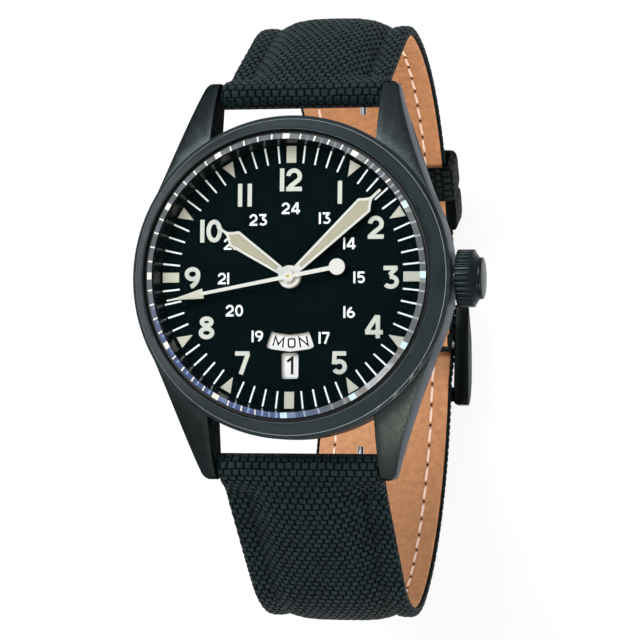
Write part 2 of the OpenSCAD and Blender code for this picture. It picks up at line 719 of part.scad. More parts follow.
module train_bridge() {
    low = bridge_z - bridge_t;
    color("#c3c6c7") difference() {
        union() {
            difference() {
                disc(movement_r - 0.1, low, bridge_z, $fn = 120);
                cock_room();
            }
            bridge_rim();
            for (a = [-82, -25, 135]) polar(11.3, a) disc(0.85, bridge_z, plate_z, $fn = 32);
        }
        for (a = [-82, -25, 135]) polar(11.3, a) {
            disc(0.3 + seat_gap, low - 1, plate_z + 1, $fn = 24);
            disc(0.65 + seat_gap, low - 1, low + 0.26, $fn = 32);
        }
        at_third() disc(jewel_r + seat_gap, low - 1, bridge_z + 1, $fn = 32);
        at_escape() disc(jewel_r + seat_gap, low - 1, bridge_z + 1, $fn = 32);
        disc(jewel_r + seat_gap, bridge_z - 0.36, bridge_z + 1, $fn = 32);
        at_barrel() disc(0.5 + run_gap, low + 0.1, bridge_z + 1);
    }
}

module balance_cock() {
    low = bridge_z - bridge_t;
    foot_deg = escape_deg + 34;
    color("#c3c6c7") difference() {
        union() {
            translate([0, 0, low]) linear_extrude(bridge_t - 0.05) hull() {
                polar(balance_l, escape_deg) circle(1.2);
                polar(11.5, foot_deg) circle(1.7);
            }
            polar(11.5, foot_deg) disc(1.5, bridge_z - 0.4, plate_z);
        }
        polar(11.5, foot_deg) {
            disc(0.3 + seat_gap, low - 1, plate_z + 1, $fn = 24);
            disc(0.65 + seat_gap, low - 1, low + 0.26, $fn = 32);
        }
        at_balance() disc(jewel_r + seat_gap, low - 1, bridge_z + 1, $fn = 32);
    }
}

module bridge_screws() {
    low = bridge_z - bridge_t;
    color("#4f6fa8") screw_places() difference() {
        union() {
            disc(0.65, low, low + 0.25, $fn = 32);
            disc(0.3, low + 0.2, plate_z + 0.8, $fn = 24);
        }
        translate([-1, -0.07, low - 1]) cube([2, 0.14, 1.1]);
    }
}

module jewels() {
    color("#b0224a") {
        at_third() ring(pivot_r + run_gap, jewel_r, bridge_z - 0.35, bridge_z, $fn = 32);
        at_escape() ring(pivot_r + run_gap, jewel_r, bridge_z - 0.35, bridge_z, $fn = 32);
        at_balance() ring(pivot_r + run_gap, jewel_r, bridge_z - 0.4, bridge_z - 0.05, $fn = 32);
        ring(pivot_r + run_gap, jewel_r, bridge_z - 0.35, bridge_z, $fn = 32);
    }
}

module rotor_bearing() {
    low = bridge_z - bridge_t;
    color("#9ea2a4") {
        disc(1.6, rotor_z + 0.3, low);
        disc(2.1, rotor_z + 0.05, rotor_z + 0.3);
    }
}

module rotor() {
    web_z = rotor_z + 0.36;
    color("#b7babb") {
        ring(1.6 + run_gap, 2.7, web_z, web_z + 0.36);
        translate([0, 0, web_z]) linear_extrude(0.26) difference() {
            circle(rotor_rim_r + 0.3);
            circle(2.5);
            translate([-20, 2.2]) square([40, 20]);
            for (a = [-135, -105, -75, -45]) rotate(a) translate([4.6, -0.7])
                square([rotor_rim_r - 6, 1.4]);
        }
        translate([0, 0, rotor_z]) linear_extrude(0.8) difference() {
            circle(movement_r - 0.45, $fn = 120);
            circle(rotor_rim_r);
            translate([-20, 2.2]) square([40, 20]);
        }
    }
}

module barrel() {
    low = bridge_z + 0.3;
    top = low + 0.6;
    r = pitch(barrel_teeth, centre_pinion_teeth, barrel_l);
    color("#c9a94f") at_barrel() {
        ring(0.9, r - 0.55, low, low + 0.1);
        ring(r - 0.9, r - 0.55, low + 0.1, top - 0.1);
        ring(0.9, r - 0.55, top - 0.1, top);
        gear(barrel_teeth, r, low + 0.35, low + 0.5, barrel_deg + 180 + 180 / barrel_teeth, r - 0.56);
        disc(0.9, low, top);
        disc(0.5, bridge_z - 0.3, plate_z + 0.4);
    }
}

module mainspring() {
    low = bridge_z + 0.42;
    r = pitch(barrel_teeth, centre_pinion_teeth, barrel_l);
    color("#8f9aa5") at_barrel() spiral(1.05, r - 1.1, 8, 0.14, low, low + 0.36);
}

module centre_wheel() {
    top = plate_z - 0.1;
    color("#cfae57") difference() {
        union() {
            difference() {
                gear(centre_teeth, pitch(centre_teeth, third_pinion_teeth, third_l),
                    top - 0.15, top, third_deg);
                spoke_cuts(4, 0.9, third_l - 1.2, top - 1, top + 1, 0.5);
            }
            gear(centre_pinion_teeth, pitch(centre_pinion_teeth, barrel_teeth, barrel_l),
                top - 0.55, top - 0.15, barrel_deg);
            disc(centre_tube_r, top - 0.55, recess_z + 0.75, $fn = 48);
        }
        disc(second_arbor_r + run_gap, top - 1, recess_z + 1, $fn = 48);
    }
}

module third_wheel() {
    wheel_z = bridge_z + 0.35;
    pinion_z = plate_z - 0.3;
    color("#cfae57") at_third() {
        arbor();
        difference() {
            gear(third_teeth, pitch(third_teeth, fourth_pinion_teeth, third_l), wheel_z,
                wheel_z + 0.15, third_deg + 180);
            spoke_cuts(4, 0.9, third_l - 1.2, wheel_z - 1, wheel_z + 1, 0.45);
        }
        gear(third_pinion_teeth, pitch(third_pinion_teeth, centre_teeth, third_l), pinion_z,
            plate_z - 0.06, third_deg + 180 + 180 / third_pinion_teeth);
    }
}

module fourth_wheel() {
    wheel_z = bridge_z + 0.07;
    color("#cfae57") {
        disc(pivot_r, bridge_z - 0.3, bridge_z + 0.1, $fn = 32);
        disc(second_arbor_r, bridge_z + 0.04, second_z, $fn = 48);
        difference() {
            gear(fourth_teeth, pitch(fourth_teeth, escape_pinion_teeth, escape_l), wheel_z,
                wheel_z + 0.15, escape_deg);
            spoke_cuts(4, 0.8, escape_l - 0.8, wheel_z - 1, wheel_z + 1, 0.4);
        }
        gear(fourth_pinion_teeth, pitch(fourth_pinion_teeth, third_teeth, third_l), bridge_z + 0.28,
            bridge_z + 0.55, third_deg + 180 / fourth_pinion_teeth);
    }
}

// Escape wheel teeth lean the way that the wheel turns
function escape_points() = [for (i = [0:escape_teeth - 1],
    p = [[-0.3, 0.72], [0.18, 1], [0.3, 1], [0.36, 0.72]])
    let (a = (i + p[0]) * 360 / escape_teeth) [escape_r * p[1] * cos(a), escape_r * p[1] * sin(a)]];

module escape_wheel() {
    wheel_z = fork_z;
    color("#d8dadb") at_escape() {
        arbor();
        translate([0, 0, wheel_z]) linear_extrude(0.15) polygon(escape_points());
        gear(escape_pinion_teeth, pitch(escape_pinion_teeth, fourth_teeth, escape_l),
            bridge_z + 0.06, bridge_z + 0.3, escape_deg + 180 + 180 / escape_pinion_teeth);
    }
}

module pallet_fork() {
    stone_r = escape_r + 0.22;
    lever_l = balance_from_escape - pallet_l - 1;
    color("#d8dadb") at_pallet() {
        disc(arbor_r, pallet_bridge_z + 0.16, plate_z - 0.05, $fn = 32);
        disc(pivot_r, pallet_bridge_z, plate_z + 0.3, $fn = 32);
        translate([0, 0, fork_z]) linear_extrude(0.15) rotate(escape_deg) {
            translate([0, -0.16]) square([lever_l, 0.32]);
            for (s = [-1, 1]) polygon([[0.15, -s * 0.08],
                [stone_r * cos(29) - pallet_l + 0.2, s * (stone_r * sin(29) + 0.3)],
                [stone_r * cos(29) - pallet_l, s * stone_r * sin(29)], [-0.35, -s * 0.08]]);
        }
    }
}

// The pallet bridge runs between the balance wheel and the fork, on two feet
module pallet_bridge() {
    foot_l = 2.6;
    color("#c3c6c7") at_pallet() rotate(escape_deg) difference() {
        union() {
            translate([-0.45, -foot_l, pallet_bridge_z]) cube([0.9, 2 * foot_l, 0.14]);
            for (s = [-1, 1]) translate([0, s * foot_l]) disc(0.45, pallet_bridge_z, plate_z, $fn = 32);
            disc(0.6, pallet_bridge_z, pallet_bridge_z + 0.14, $fn = 32);
        }
        disc(pivot_r + run_gap, pallet_bridge_z - 1, pallet_bridge_z + 1, $fn = 32);
    }
}

module balance_wheel() {
    rim_z = bridge_z + 0.08;
    color("#d9b45a") at_balance() {
        arbor();
        ring(balance_r - 0.45, balance_r, rim_z, rim_z + 0.28);
        translate([0, 0, rim_z]) linear_extrude(0.15) for (i = [0:2]) rotate(i * 120 + 40)
            translate([0, -0.18]) square([balance_r - 0.4, 0.36]);
        disc(0.6, fork_z, fork_z + 0.12, $fn = 32);
    }
}

module hairspring() {
    low = fork_z + 0.2;
    color("#5b7fb0") at_balance() spiral(0.36, 1.36, 5, 0.07, low, low + 0.14);
}

module cannon_pinion() {
    color("#cfae57") difference() {
        union() {
            gear(cannon_teeth, pitch(cannon_teeth, minute_teeth, motion_l), recess_z + 0.06,
                recess_z + 0.42, motion_deg);
            disc(cannon_r, recess_z + 0.06, minute_z + 0.05, $fn = 48);
        }
        disc(centre_tube_r + run_gap, recess_z - 1, minute_z + 1, $fn = 48);
    }
}

module minute_wheel() {
    color("#cfae57") polar(motion_l, motion_deg) difference() {
        union() {
            gear(minute_teeth, pitch(minute_teeth, cannon_teeth, motion_l), recess_z + 0.12,
                recess_z + 0.34, motion_deg + 180 + 180 / minute_teeth);
            gear(minute_pinion_teeth, pitch(minute_pinion_teeth, hour_teeth, motion_l),
                recess_z + 0.34, well_z - 0.03, motion_deg + 180);
        }
        disc(0.3 + run_gap, recess_z - 1, well_z + 1, $fn = 32);
    }
}

module hour_wheel() {
    low = recess_z + 0.5;
    color("#cfae57") difference() {
        union() {
            gear(hour_teeth, pitch(hour_teeth, minute_pinion_teeth, motion_l), low, well_z - 0.04,
                motion_deg + 180 / hour_teeth);
            disc(hour_tube_r, low, hour_z + 0.05, $fn = 48);
        }
        disc(cannon_r + run_gap, low - 1, hour_z + 1, $fn = 48);
    }
}

module date_ring() {
    low = well_z + 0.07;
    color("#e1d7d2") {
        ring(day_disc_r + 0.1, date_ring_r, low, low + 0.38, $fn = 120);
        translate([0, 0, low]) linear_extrude(0.12) difference() {
            circle(day_disc_r + 0.12);
            circle(day_disc_r - 0.1);
            for (i = [0:date_teeth - 1]) rotate(i * 360 / date_teeth) translate([day_disc_r - 0.3, -0.6])
                square([0.38, 1.2]);
        }
    }
}

module day_disc() {
    low = well_z + 0.15;
    color("#e1d7d2") {
        ring(hour_tube_r + 0.12, 2.3, low, seat_z - 0.2);
        ring(hour_tube_r + 0.12, day_disc_r, seat_z - 0.22, seat_z - 0.08, $fn = 120);
    }
}

// Outline of one side of a hand: it widens from the hub, then draws in to a needle
module hand_outline(l, tip_l, w, hub_r) {
    waist = l - tip_l;
    shoulder = waist - 1.25;
    needle = 0.17;
    polygon([for (s = [1, -1]) each s == 1
        ? [[0.5, 0], [0.52, hub_r], [w / 2, shoulder], [w * 0.28, shoulder + 0.55],
           [needle * 1.5, waist - 0.15], [needle, waist + 0.2], [needle, l - 0.1], [needle * 0.7, l]]
        : [[-needle * 0.7, l], [-needle, l - 0.1], [-needle, waist + 0.2], [-needle * 1.5, waist - 0.15],
           [-w * 0.28, shoulder + 0.55], [-w / 2, shoulder], [-0.52, hub_r], [-0.5, 0]]]);
}

// Slot for the light-coloured fill, an even edge inside the outline
module hand_slot(l, tip_l, w, hub_r) {
    intersection() {
        offset(delta = -hand_edge_w) hand_outline(l, tip_l, w, hub_r);
        translate([-w, 2]) square([2 * w, l - tip_l - 2 - 0.35]);
    }
}

module hand(l, tip_l, bore_r, hub_r, deg) {
    rotate(-deg) linear_extrude(hand_t) difference() {
        union() {
            circle(hub_r, $fn = 48);
            hand_outline(l, tip_l, hand_w, hub_r);
        }
        hand_slot(l, tip_l, hand_w, hub_r);
        circle(bore_r, $fn = 48);
    }
}

module hour_hand() {
    color("#e9e6e2") translate([0, 0, hour_z]) hand(hour_hand_l, 1.5, hour_tube_r + 0.01, 1.5, hour_deg);
}

module minute_hand() {
    color("#e9e6e2") translate([0, 0, minute_z])
        hand(minute_hand_l, 1.6, cannon_r + 0.01, 1.41, minute_deg);
}

module second_hand() {
    color("#f2f1ee") rotate(-second_deg) {
        translate([0, 0, second_z]) linear_extrude(hand_t - 0.03) difference() {
            union() {
                polygon([[0.28, -counter_l], [0.2, second_hand_l - 4], [0.1, second_hand_l],
                    [-0.1, second_hand_l], [-0.2, second_hand_l - 4], [-0.28, -counter_l]]);
                polygon([[-0.65, second_hand_l - 4.9], [0.65, second_hand_l - 4.9],
                    [0.12, second_hand_l - 1.3], [-0.12, second_hand_l - 1.3]]);
                translate([0, -counter_l]) circle(counter_d / 2, $fn = 48);
                circle(0.77, $fn = 48);
            }
            circle(0.2, $fn = 32);
        }
        ring(0.2, 0.6, second_z + hand_t - 0.03, second_top, $fn = 48);
    }
}

module winding_stem() {
    inner = 7.9;
    color("#a9adaf") translate([0, 0, stem_z]) {
        along_x(11.6, stem_d / 2, case_r + 0.35 + crown_grip_l - 0.55 - 11.6);
        translate([inner, -0.42, -0.42]) cube([11.6 - inner, 0.84, 0.84]);
    }
}

module sliding_pinion() {
    color("#c7cacb") translate([9, 0, stem_z]) difference() {
        rotate([90, 0, 90]) linear_extrude(1.6) polygon(gear_points(14, 0.95));
        translate([-1, -0.42 - run_gap, -0.42 - run_gap])
            cube([4, 0.84 + 2 * run_gap, 0.84 + 2 * run_gap]);
    }
}

module crown() {
    foot = case_r + 0.35;
    r = crown_d / 2;
    color("#2c3234") translate([foot, 0, stem_z]) rotate([0, 90, 0]) difference() {
        union() {
            linear_extrude(crown_grip_l) difference() {
                circle(r);
                for (i = [0:crown_flutes - 1]) rotate(i * 360 / crown_flutes) translate([r + 0.02, 0])
                    circle(0.2, $fn = 20);
            }
            translate([0, 0, crown_grip_l]) rotate_extrude() polygon([[0, 0], [r - 0.22, 0],
                [r - 0.3, 0.12], [crown_end_d / 2, crown_chamfer_l],
                [crown_end_d / 2, crown_chamfer_l + crown_end_l - 0.2],
                [crown_end_d / 2 - 0.08, crown_chamfer_l + crown_end_l - 0.06],
                [crown_end_d / 2 - 0.25, crown_chamfer_l + crown_end_l],
                [0, crown_chamfer_l + crown_end_l]]);
        }
        translate([0, 0, -1]) cylinder(r = crown_tube_d / 2 + 0.3, h = crown_grip_l - 0.55 + 1);
    }
}

module crown_gasket() {
    color("#0c0d0e") translate([case_r + 0.65, 0, stem_z]) rotate([0, 90, 0])
        ring(crown_tube_d / 2 + run_gap, crown_tube_d / 2 + 0.28, 0, 0.4);
}

// Way that the quick-release knob points from its spring bar, in the plane of the loop
knob_deg = -172;
knob_x = lug_gap / 2 - 2.9;
knob_r = 0.4;
knob_l = 2.6;

module knob_way() {
    rotate([knob_deg - 90, 0, 0]) children();
}

module spring_bar() {
    slot_l = release_travel + 2 * knob_r + 0.2;
    difference() {
        union() {
            along_x(-bar_half, bar_r, 2 * bar_half, $fn = 48);
            along_x(-lug_gap / 2 - bar_pin_l, pin_r, bar_pin_l + 0.2, $fn = 32);
        }
        along_x(knob_x - release_travel - 1.5, hole_r, 10, $fn = 32);
        knob_way() translate([knob_x + knob_r + 0.1 - slot_l, -knob_r - 0.05, 0])
            cube([slot_l, 2 * knob_r + 0.1, 2]);
    }
}

module quick_release() {
    along_x(knob_x - 1.2, pin_r, lug_gap / 2 + bar_pin_l - knob_x + 1.2, $fn = 32);
    translate([knob_x, 0, 0]) knob_way() cylinder(r = knob_r, h = knob_l, $fn = 32);
}

module at_bar_12() { translate([0, bar_y, bar_z]) children(); }
module at_bar_6() { mirror([0, 1, 0]) at_bar_12() children(); }

module spring_bar_12() { color("#b4b8ba") at_bar_12() spring_bar(); }
module spring_bar_6() { color("#b4b8ba") at_bar_6() spring_bar(); }
module quick_release_12() { color("#d5d8da") at_bar_12() quick_release(); }
module quick_release_6() { color("#d5d8da") at_bar_6() quick_release(); }

// Room for the spring bar and its knob in the end of a strap
module bar_room() {
    along_x(-15, bar_r + 0.1, 30, $fn = 40);
    knob_way() translate([knob_x - release_travel - knob_r - 0.15, -knob_r - 0.25, 0])
        cube([6, 2 * knob_r + 0.5, 4]);
}

// Rings of the short strap: wrapped noses at both ends, crown and channels between
short_stations = stations(strap_end_t, short_l,
    [short_l - 4.4, short_l - 3, short_l - 1.55, short_l - 1.45, short_l - 0.6, short_l,
     for (a = [22, 45, 68]) short_l + buckle_end_t / 2 * sin(a)]);

function short_ring(s) = let (
    d = min(s, short_l - s),
    at_lug = s < short_l / 2,
    end_t = at_lug ? strap_end_t : buckle_end_t,
    blend = at_lug ? 26 : 6,
    edge = edge_of(end_t, d, at_lug ? 6 : 5),
    crown = crown_of(end_t, strap_mid_t, d, blend),
    cut = channel_h * smooth((d - 3) / 3))
    placed(loop_at(s), raised(section(half_width(s), floor_of(end_t, d), edge, max(edge, crown), cut),
        at_lug ? sunk(s) : 0));

module strap_12() {
    color("#14191e") difference() {
        skin([for (s = short_stations) short_ring(s)]);
        at_bar_12() bar_room();
        translate([0, pivot[0], pivot[1]]) {
            along_x(-15, buckle_bar_d / 2 + 0.1, 30, $fn = 40);
            rotate([loop_at(short_l)[2], 0, 0]) translate([-tongue_w / 2 - soft_gap, -2.1, -3])
                cube([tongue_w + 2 * soft_gap, 6, 6]);
        }
    }
}

// Lining: a thin band inside the loop, with its edges eased
function lining_ring(at, w, up) = placed(at, [[w - 0.05, up + 0.12], [w, up + lining_t],
    [-w, up + lining_t], [-w + 0.05, up + 0.12], [-w + 0.25, up], [w - 0.25, up]]);

module lining_12() {
    inner = [for (s = short_stations) if (s > 1.5 && s < short_l - 1.5) s];
    color("#d29364") difference() {
        skin([for (s = inner) lining_ring(loop_at(s), half_width(s), sunk(s))]);
        at_bar_12() bar_room();
        translate([0, pivot[0], pivot[1]]) rotate([loop_at(short_l)[2], 0, 0])
            translate([-tongue_w / 2 - soft_gap, -2.1, -3]) cube([tongue_w + 2 * soft_gap, 6, 6]);
    }
}

// Rings of the long strap: d runs from the spring bar at 6, s falls towards the tail's tip
long_l = loop_l - tail_s;
long_stations = stations(strap_end_t, long_l,
    [for (a = [15, 35, 55, 72, 84]) long_l - 7 + 7 * sin(a)]);
function tip_width(d) = let (t = (d - long_l + 7) / 7) t <= 0 ? 1 : sqrt(max(0.03, 1 - t * t * 0.97));
function long_width(d) = half_width(d) * tip_width(d);
function thin(d) = mix(strap_mid_t, tail_t, (d - loop_l + crossbar_s + 6) / 8);

function long_ring(d) = let (
    s = loop_l - d,
    up = lift(s) + sunk(d),
    edge = min(edge_of(strap_end_t, d, 6), thin(d) - 0.1),
    crown = crown_of(strap_end_t, thin(d), d, 26),
    low = floor_of(strap_end_t, d),
    e = d < 6 ? edge_of(strap_end_t, d, 6) : edge,
    cut = channel_h * smooth((d - 3) / 3) * (1 - smooth((d - 70) / 20)))
    placed(loop_at(s), raised(section(long_width(d), low, e, max(e, crown), cut), up));

// Punched holes of the long strap, one round the tongue and the others evenly spaced
hole_s = short_l + 3;
module strap_holes() {
    for (i = [-3, -2, -1, 1]) at_station(hole_s + i * 7) translate([0, lift(hole_s + i * 7), 0])
        rotate([-90, 0, 0]) translate([0, 0, -1]) cylinder(r = 0.9, h = tail_t + 3, $fn = 20);
    at_station(hole_s) translate([-tongue_w / 2 - soft_gap, -1, -3.1])
        cube([tongue_w + 2 * soft_gap, 8, 6.2]);
}

module strap_6() {
    color("#14191e") difference() {
        skin([for (d = long_stations) reversed(long_ring(d))]);
        at_bar_6() bar_room();
        strap_holes();
    }
}

module lining_6() {
    inner = [for (d = long_stations) if (d > 1.5) d];
    color("#d29364") difference() {
        skin([for (d = inner) reversed(lining_ring(loop_at(loop_l - d), long_width(d),
            lift(loop_l - d) + sunk(d)))]);
        at_bar_6() bar_room();
        strap_holes();
    }
}

// Band round the straps: a rounded frame of the given inside, n measured outward
module band(x, n0, n1, w) {
    linear_extrude(w, center = true) difference() {
        offset(r = 0.9, $fn = 24) offset(delta = -0.9)
            translate([-x - keeper_t, n0 - keeper_t])
                square([2 * (x + keeper_t), n1 - n0 + 2 * keeper_t]);
        offset(r = 0.4, $fn = 24) offset(delta = -0.4)
            translate([-x, n0]) square([2 * x, n1 - n0]);
    }
}

keeper_n = lift_keeper + tail_t + soft_gap + 0.4;
function keeper_x(s) = half_width(s) + soft_gap;

// The fixed keeper stands out nearly as far as the buckle, so that the watch stands on the two
stand_z = crossbar[1] - 2.5;
fixed_at = loop_at(fixed_keeper_s);
fixed_out = stand_z + keeper_rise - fixed_at[1] - fixed_keeper_w / 2 * sin(fixed_at[2]);
fixed_n = fixed_out / cos(fixed_at[2]) - keeper_t;

module fixed_keeper() {
    color("#171c20") at_station(fixed_keeper_s) intersection() {
        band(half_width(fixed_keeper_s) + seat_gap, 0, fixed_n, fixed_keeper_w);
        translate([-20, 0.15, -10]) cube([40, 10, 20]);
    }
}

module free_keeper() {
    color("#171c20") at_station(free_keeper_s)
        band(keeper_x(free_keeper_s), -soft_gap, keeper_n, free_keeper_w);
}

module buckle_bar() {
    half = arm_x - 0.1;
    color("#b4b8ba") translate([0, pivot[0], pivot[1]]) {
        along_x(-half, buckle_bar_d / 2, 2 * half, $fn = 40);
        along_x(-half - 0.9, 0.4, 2 * half + 1.8, $fn = 32);
    }
}

// Side of the buckle: a curved arm that hides the pivot and holds the crossbar
module arm_side() {
    y = pivot[0];
    z = pivot[1] - 1.3;
    c = crossbar;
    offset(r = 0.7, $fn = 32) offset(delta = -0.7) polygon([
        [y + 6, z + 1.9], [y + 2.5, z + 2.2], [y - 3.5, z + 2.4], [c[0] + 0.2, c[1] + 2.9],
        [c[0] - 1.5, c[1] + 2.6], [c[0] - 1.7, c[1] - 0.2], [c[0] - 0.4, c[1] - 1.7],
        [c[0] + 1.9, stand_z], [y - 2, stand_z + 0.05], [y + 1, stand_z + 0.5], [y + 4, z - 0.6],
        [y + 6, z + 0.6]]);
}

module buckle_frame() {
    color("#15181a") {
        difference() {
            for (sx = [-1, 1]) translate([sx * (arm_x + arm_w / 2), 0, 0]) across(arm_w / 2) arm_side();
            translate([0, pivot[0], pivot[1]]) along_x(-arm_x - 1, 0.4 + run_gap, 2 * arm_x + 2, $fn = 32);
        }
        translate([0, crossbar[0], crossbar[1]])
            along_x(-arm_x - 0.5, crossbar_d / 2, 2 * arm_x + 1, $fn = 48);
    }
}

// The tongue turns on the buckle bar and rests on the outside of the crossbar
module buckle_tongue() {
    root_r = buckle_bar_d / 2 + 0.45;
    over = outward([crossbar[0], crossbar[1], loop_at(crossbar_s)[2]], crossbar_d / 2 + 0.1);
    color("#15181a") across(tongue_w / 2) difference() {
        union() {
            translate(pivot) circle(root_r, $fn = 40);
            polygon([[pivot[0] - 0.4, pivot[1] + 0.6], [over[0] + 1.6, over[1] + 0.1],
                [over[0] - 1.2, over[1]], [over[0] - 1.6, over[1] - 0.3], [over[0] - 1.5, over[1] - 0.8],
                [over[0] + 1.6, over[1] - 1], [pivot[0] + 0.4, pivot[1] - 0.8]]);
        }
        translate(pivot) circle(buckle_bar_d / 2 + run_gap, $fn = 40);
    }
}

case_body();
bezel();
crystal();
crystal_gasket();
flange_ring();
dial();
case_back();
case_back_gasket();
movement_holder();
crown_tube();
mainplate();
calendar_plate();
train_bridge();
balance_cock();
bridge_screws();
jewels();
rotor_bearing();
rotor();
barrel();
mainspring();
centre_wheel();
third_wheel();
fourth_wheel();
escape_wheel();
pallet_fork();
pallet_bridge();
balance_wheel();
hairspring();
cannon_pinion();
minute_wheel();
hour_wheel();
date_ring();
day_disc();
hour_hand();
minute_hand();
second_hand();
winding_stem();
sliding_pinion();
crown();
crown_gasket();
spring_bar_12();
spring_bar_6();
quick_release_12();
quick_release_6();
strap_12();
lining_12();
strap_6();
lining_6();
fixed_keeper();
free_keeper();
buckle_bar();
buckle_frame();
buckle_tongue();
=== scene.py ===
import math

import bpy
import numpy as np
from mathutils import Matrix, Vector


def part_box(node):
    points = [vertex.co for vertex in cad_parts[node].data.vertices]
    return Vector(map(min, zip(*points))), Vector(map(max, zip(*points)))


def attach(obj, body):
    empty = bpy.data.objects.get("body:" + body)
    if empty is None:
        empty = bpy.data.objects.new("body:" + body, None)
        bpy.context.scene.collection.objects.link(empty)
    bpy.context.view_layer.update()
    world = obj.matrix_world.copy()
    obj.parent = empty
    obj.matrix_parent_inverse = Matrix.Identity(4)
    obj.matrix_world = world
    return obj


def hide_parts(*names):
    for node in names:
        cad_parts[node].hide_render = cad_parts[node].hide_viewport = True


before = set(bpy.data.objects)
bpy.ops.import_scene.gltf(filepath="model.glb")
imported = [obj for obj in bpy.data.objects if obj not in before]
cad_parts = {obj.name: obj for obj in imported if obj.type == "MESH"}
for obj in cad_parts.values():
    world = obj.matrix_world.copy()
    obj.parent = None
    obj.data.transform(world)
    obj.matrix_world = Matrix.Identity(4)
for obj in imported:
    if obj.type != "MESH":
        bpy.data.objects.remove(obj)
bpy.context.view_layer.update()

# Movement: mainplate, bridges and cock of rhodium-plated brass, turned and then stippled
# with fine grain, cut wheels of gilt brass, steel pivots, blued screws and ruby jewels.
# All of it is hidden by the dial and the case back, and is set in a nylon ring.
MM = 0.001


def linear(hex_colour, strength=1.0):
    """sRGB hex to the linear colour that a shader takes, darker or lighter by its strength."""
    parts = [int(hex_colour[i:i + 2], 16) / 255 for i in (1, 3, 5)]
    parts = [p / 12.92 if p <= 0.04045 else ((p + 0.055) / 1.055) ** 2.4 for p in parts]
    return [min(1, p * strength) for p in parts] + [1.0]


def add_node(owner, kind, settings=None):
    """One shader node of a material or the world. Number keys are socket numbers, and a node
    among the settings is linked by the first output that it has in use."""
    node = owner.node_tree.nodes.new("ShaderNode" + kind)
    for key, value in (settings or {}).items():
        if isinstance(value, bpy.types.Node):
            value = next(output for output in value.outputs if output.enabled)
        if isinstance(value, bpy.types.NodeSocket):
            owner.node_tree.links.new(value, node.inputs[key])
        elif isinstance(key, str) and key in node.bl_rna.properties:
            setattr(node, key, value)
        else:
            node.inputs[key].default_value = value
    return node


def new_finish(name):
    """An empty node material."""
    material = bpy.data.materials.new(name)
    material.use_nodes = True
    material.node_tree.nodes.clear()
    return material


def metal_finish(name, colour, roughness, grain_mm, relief=0.15):
    """A metal whose grain, tone and roughness come from noise of a real size."""
    material = new_finish(name)
    place = add_node(material, "TexCoord").outputs["Object"]
    grain = add_node(material, "TexNoise", {"Scale": 1 / (grain_mm * MM), "Detail": 3.0, "Vector": place})
    patches = add_node(material, "TexNoise", {"Scale": 1 / (6 * MM), "Detail": 4.0, "Vector": place})
    tint = add_node(material, "ValToRGB", {"Fac": grain})
    for stop, position, strength in zip(tint.color_ramp.elements, (0.35, 0.65), (0.88, 1.12)):
        stop.position, stop.color = position, linear(colour, strength)
    rough = add_node(material, "MapRange", {
        "To Min": roughness * 0.85, "To Max": roughness * 1.15, "Value": patches})
    bump = add_node(material, "Bump", {"Strength": relief, "Distance": grain_mm * MM * 0.3, "Height": grain})
    surface = add_node(material, "BsdfPrincipled", {
        "Metallic": 1.0, "Base Color": tint, "Roughness": rough, "Normal": bump})
    add_node(material, "OutputMaterial", {"Surface": surface})
    return material


def dress(material, *nodes):
    """Gives carried-over CAD nodes their material."""
    for node in nodes:
        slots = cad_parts[node].data.materials
        slots.clear()
        slots.append(material)


# Rhodium looks cool and white and gilding warm, both dulled by grain. Polished steel mirrors,
# and heat turns a mirror of steel deep blue.
rhodium_grained = metal_finish("rhodium_plated_brass_grained", "#b9bcbd", 0.32, 0.12)
rhodium_brushed = metal_finish("rhodium_plated_brass_brushed", "#c3c6c7", 0.26, 0.3)
gilt_brass = metal_finish("gilt_brass_circular_grained", "#cfae57", 0.28, 0.15)
polished_steel = metal_finish("carbon_steel_polished", "#c9ccce", 0.16, 0.2, relief=0.05)
blued_steel = metal_finish("heat_blued_steel_polished", "#3d5c9c", 0.2, 0.2, relief=0.05)
rotor_metal = metal_finish("tungsten_alloy_brushed", "#a9adaf", 0.34, 0.1, relief=0.25)
dress(rhodium_grained, "mainplate", "calendar_plate")
dress(rhodium_brushed, "train_bridge", "balance_cock", "pallet_bridge")
dress(gilt_brass, "barrel", "centre_wheel", "third_wheel", "fourth_wheel", "cannon_pinion",
      "minute_wheel", "hour_wheel", "balance_wheel")
dress(polished_steel, "escape_wheel", "pallet_fork", "mainspring", "winding_stem", "sliding_pinion",
      "rotor_bearing", "crown_tube")
dress(blued_steel, "bridge_screws", "hairspring")
dress(rotor_metal, "rotor")


def dull_finish(name, colour, roughness, grain_mm, relief=0.2, tone=0.1, coat=0.0, gloss=0.5):
    """A plastic, rubber, paint, thread or stone whose grain comes from noise of a real size."""
    material = new_finish(name)
    place = add_node(material, "TexCoord").outputs["Object"]
    grain = add_node(material, "TexNoise", {"Scale": 1 / (grain_mm * MM), "Detail": 3.0, "Vector": place})
    tint = add_node(material, "Mix", {
        "data_type": "RGBA", 0: grain, 6: linear(colour, 1 - tone), 7: linear(colour, 1 + tone)})
    bump = add_node(material, "Bump", {"Strength": relief, "Distance": grain_mm * MM * 0.3, "Height": grain})
    surface = add_node(material, "BsdfPrincipled", {
        "Roughness": roughness, "Coat Weight": coat, "Specular IOR Level": gloss, "Base Color": tint,
        "Normal": bump})
    add_node(material, "OutputMaterial", {"Surface": surface})
    return material


# Ruby is glassy and deep red, moulded nylon a soft off-white, and rubber dull black
ruby = dull_finish("synthetic_ruby_polished", "#a01838", 0.12, 0.4, relief=0.02, coat=0.5)
nylon = dull_finish("nylon_moulded", "#d8d6cc", 0.5, 0.2)
rubber = dull_finish("nitrile_rubber_moulded", "#0c0d0e", 0.62, 0.15)
dress(ruby, "jewels")
dress(nylon, "movement_holder")
dress(rubber, "crystal_gasket", "case_back_gasket", "crown_gasket")

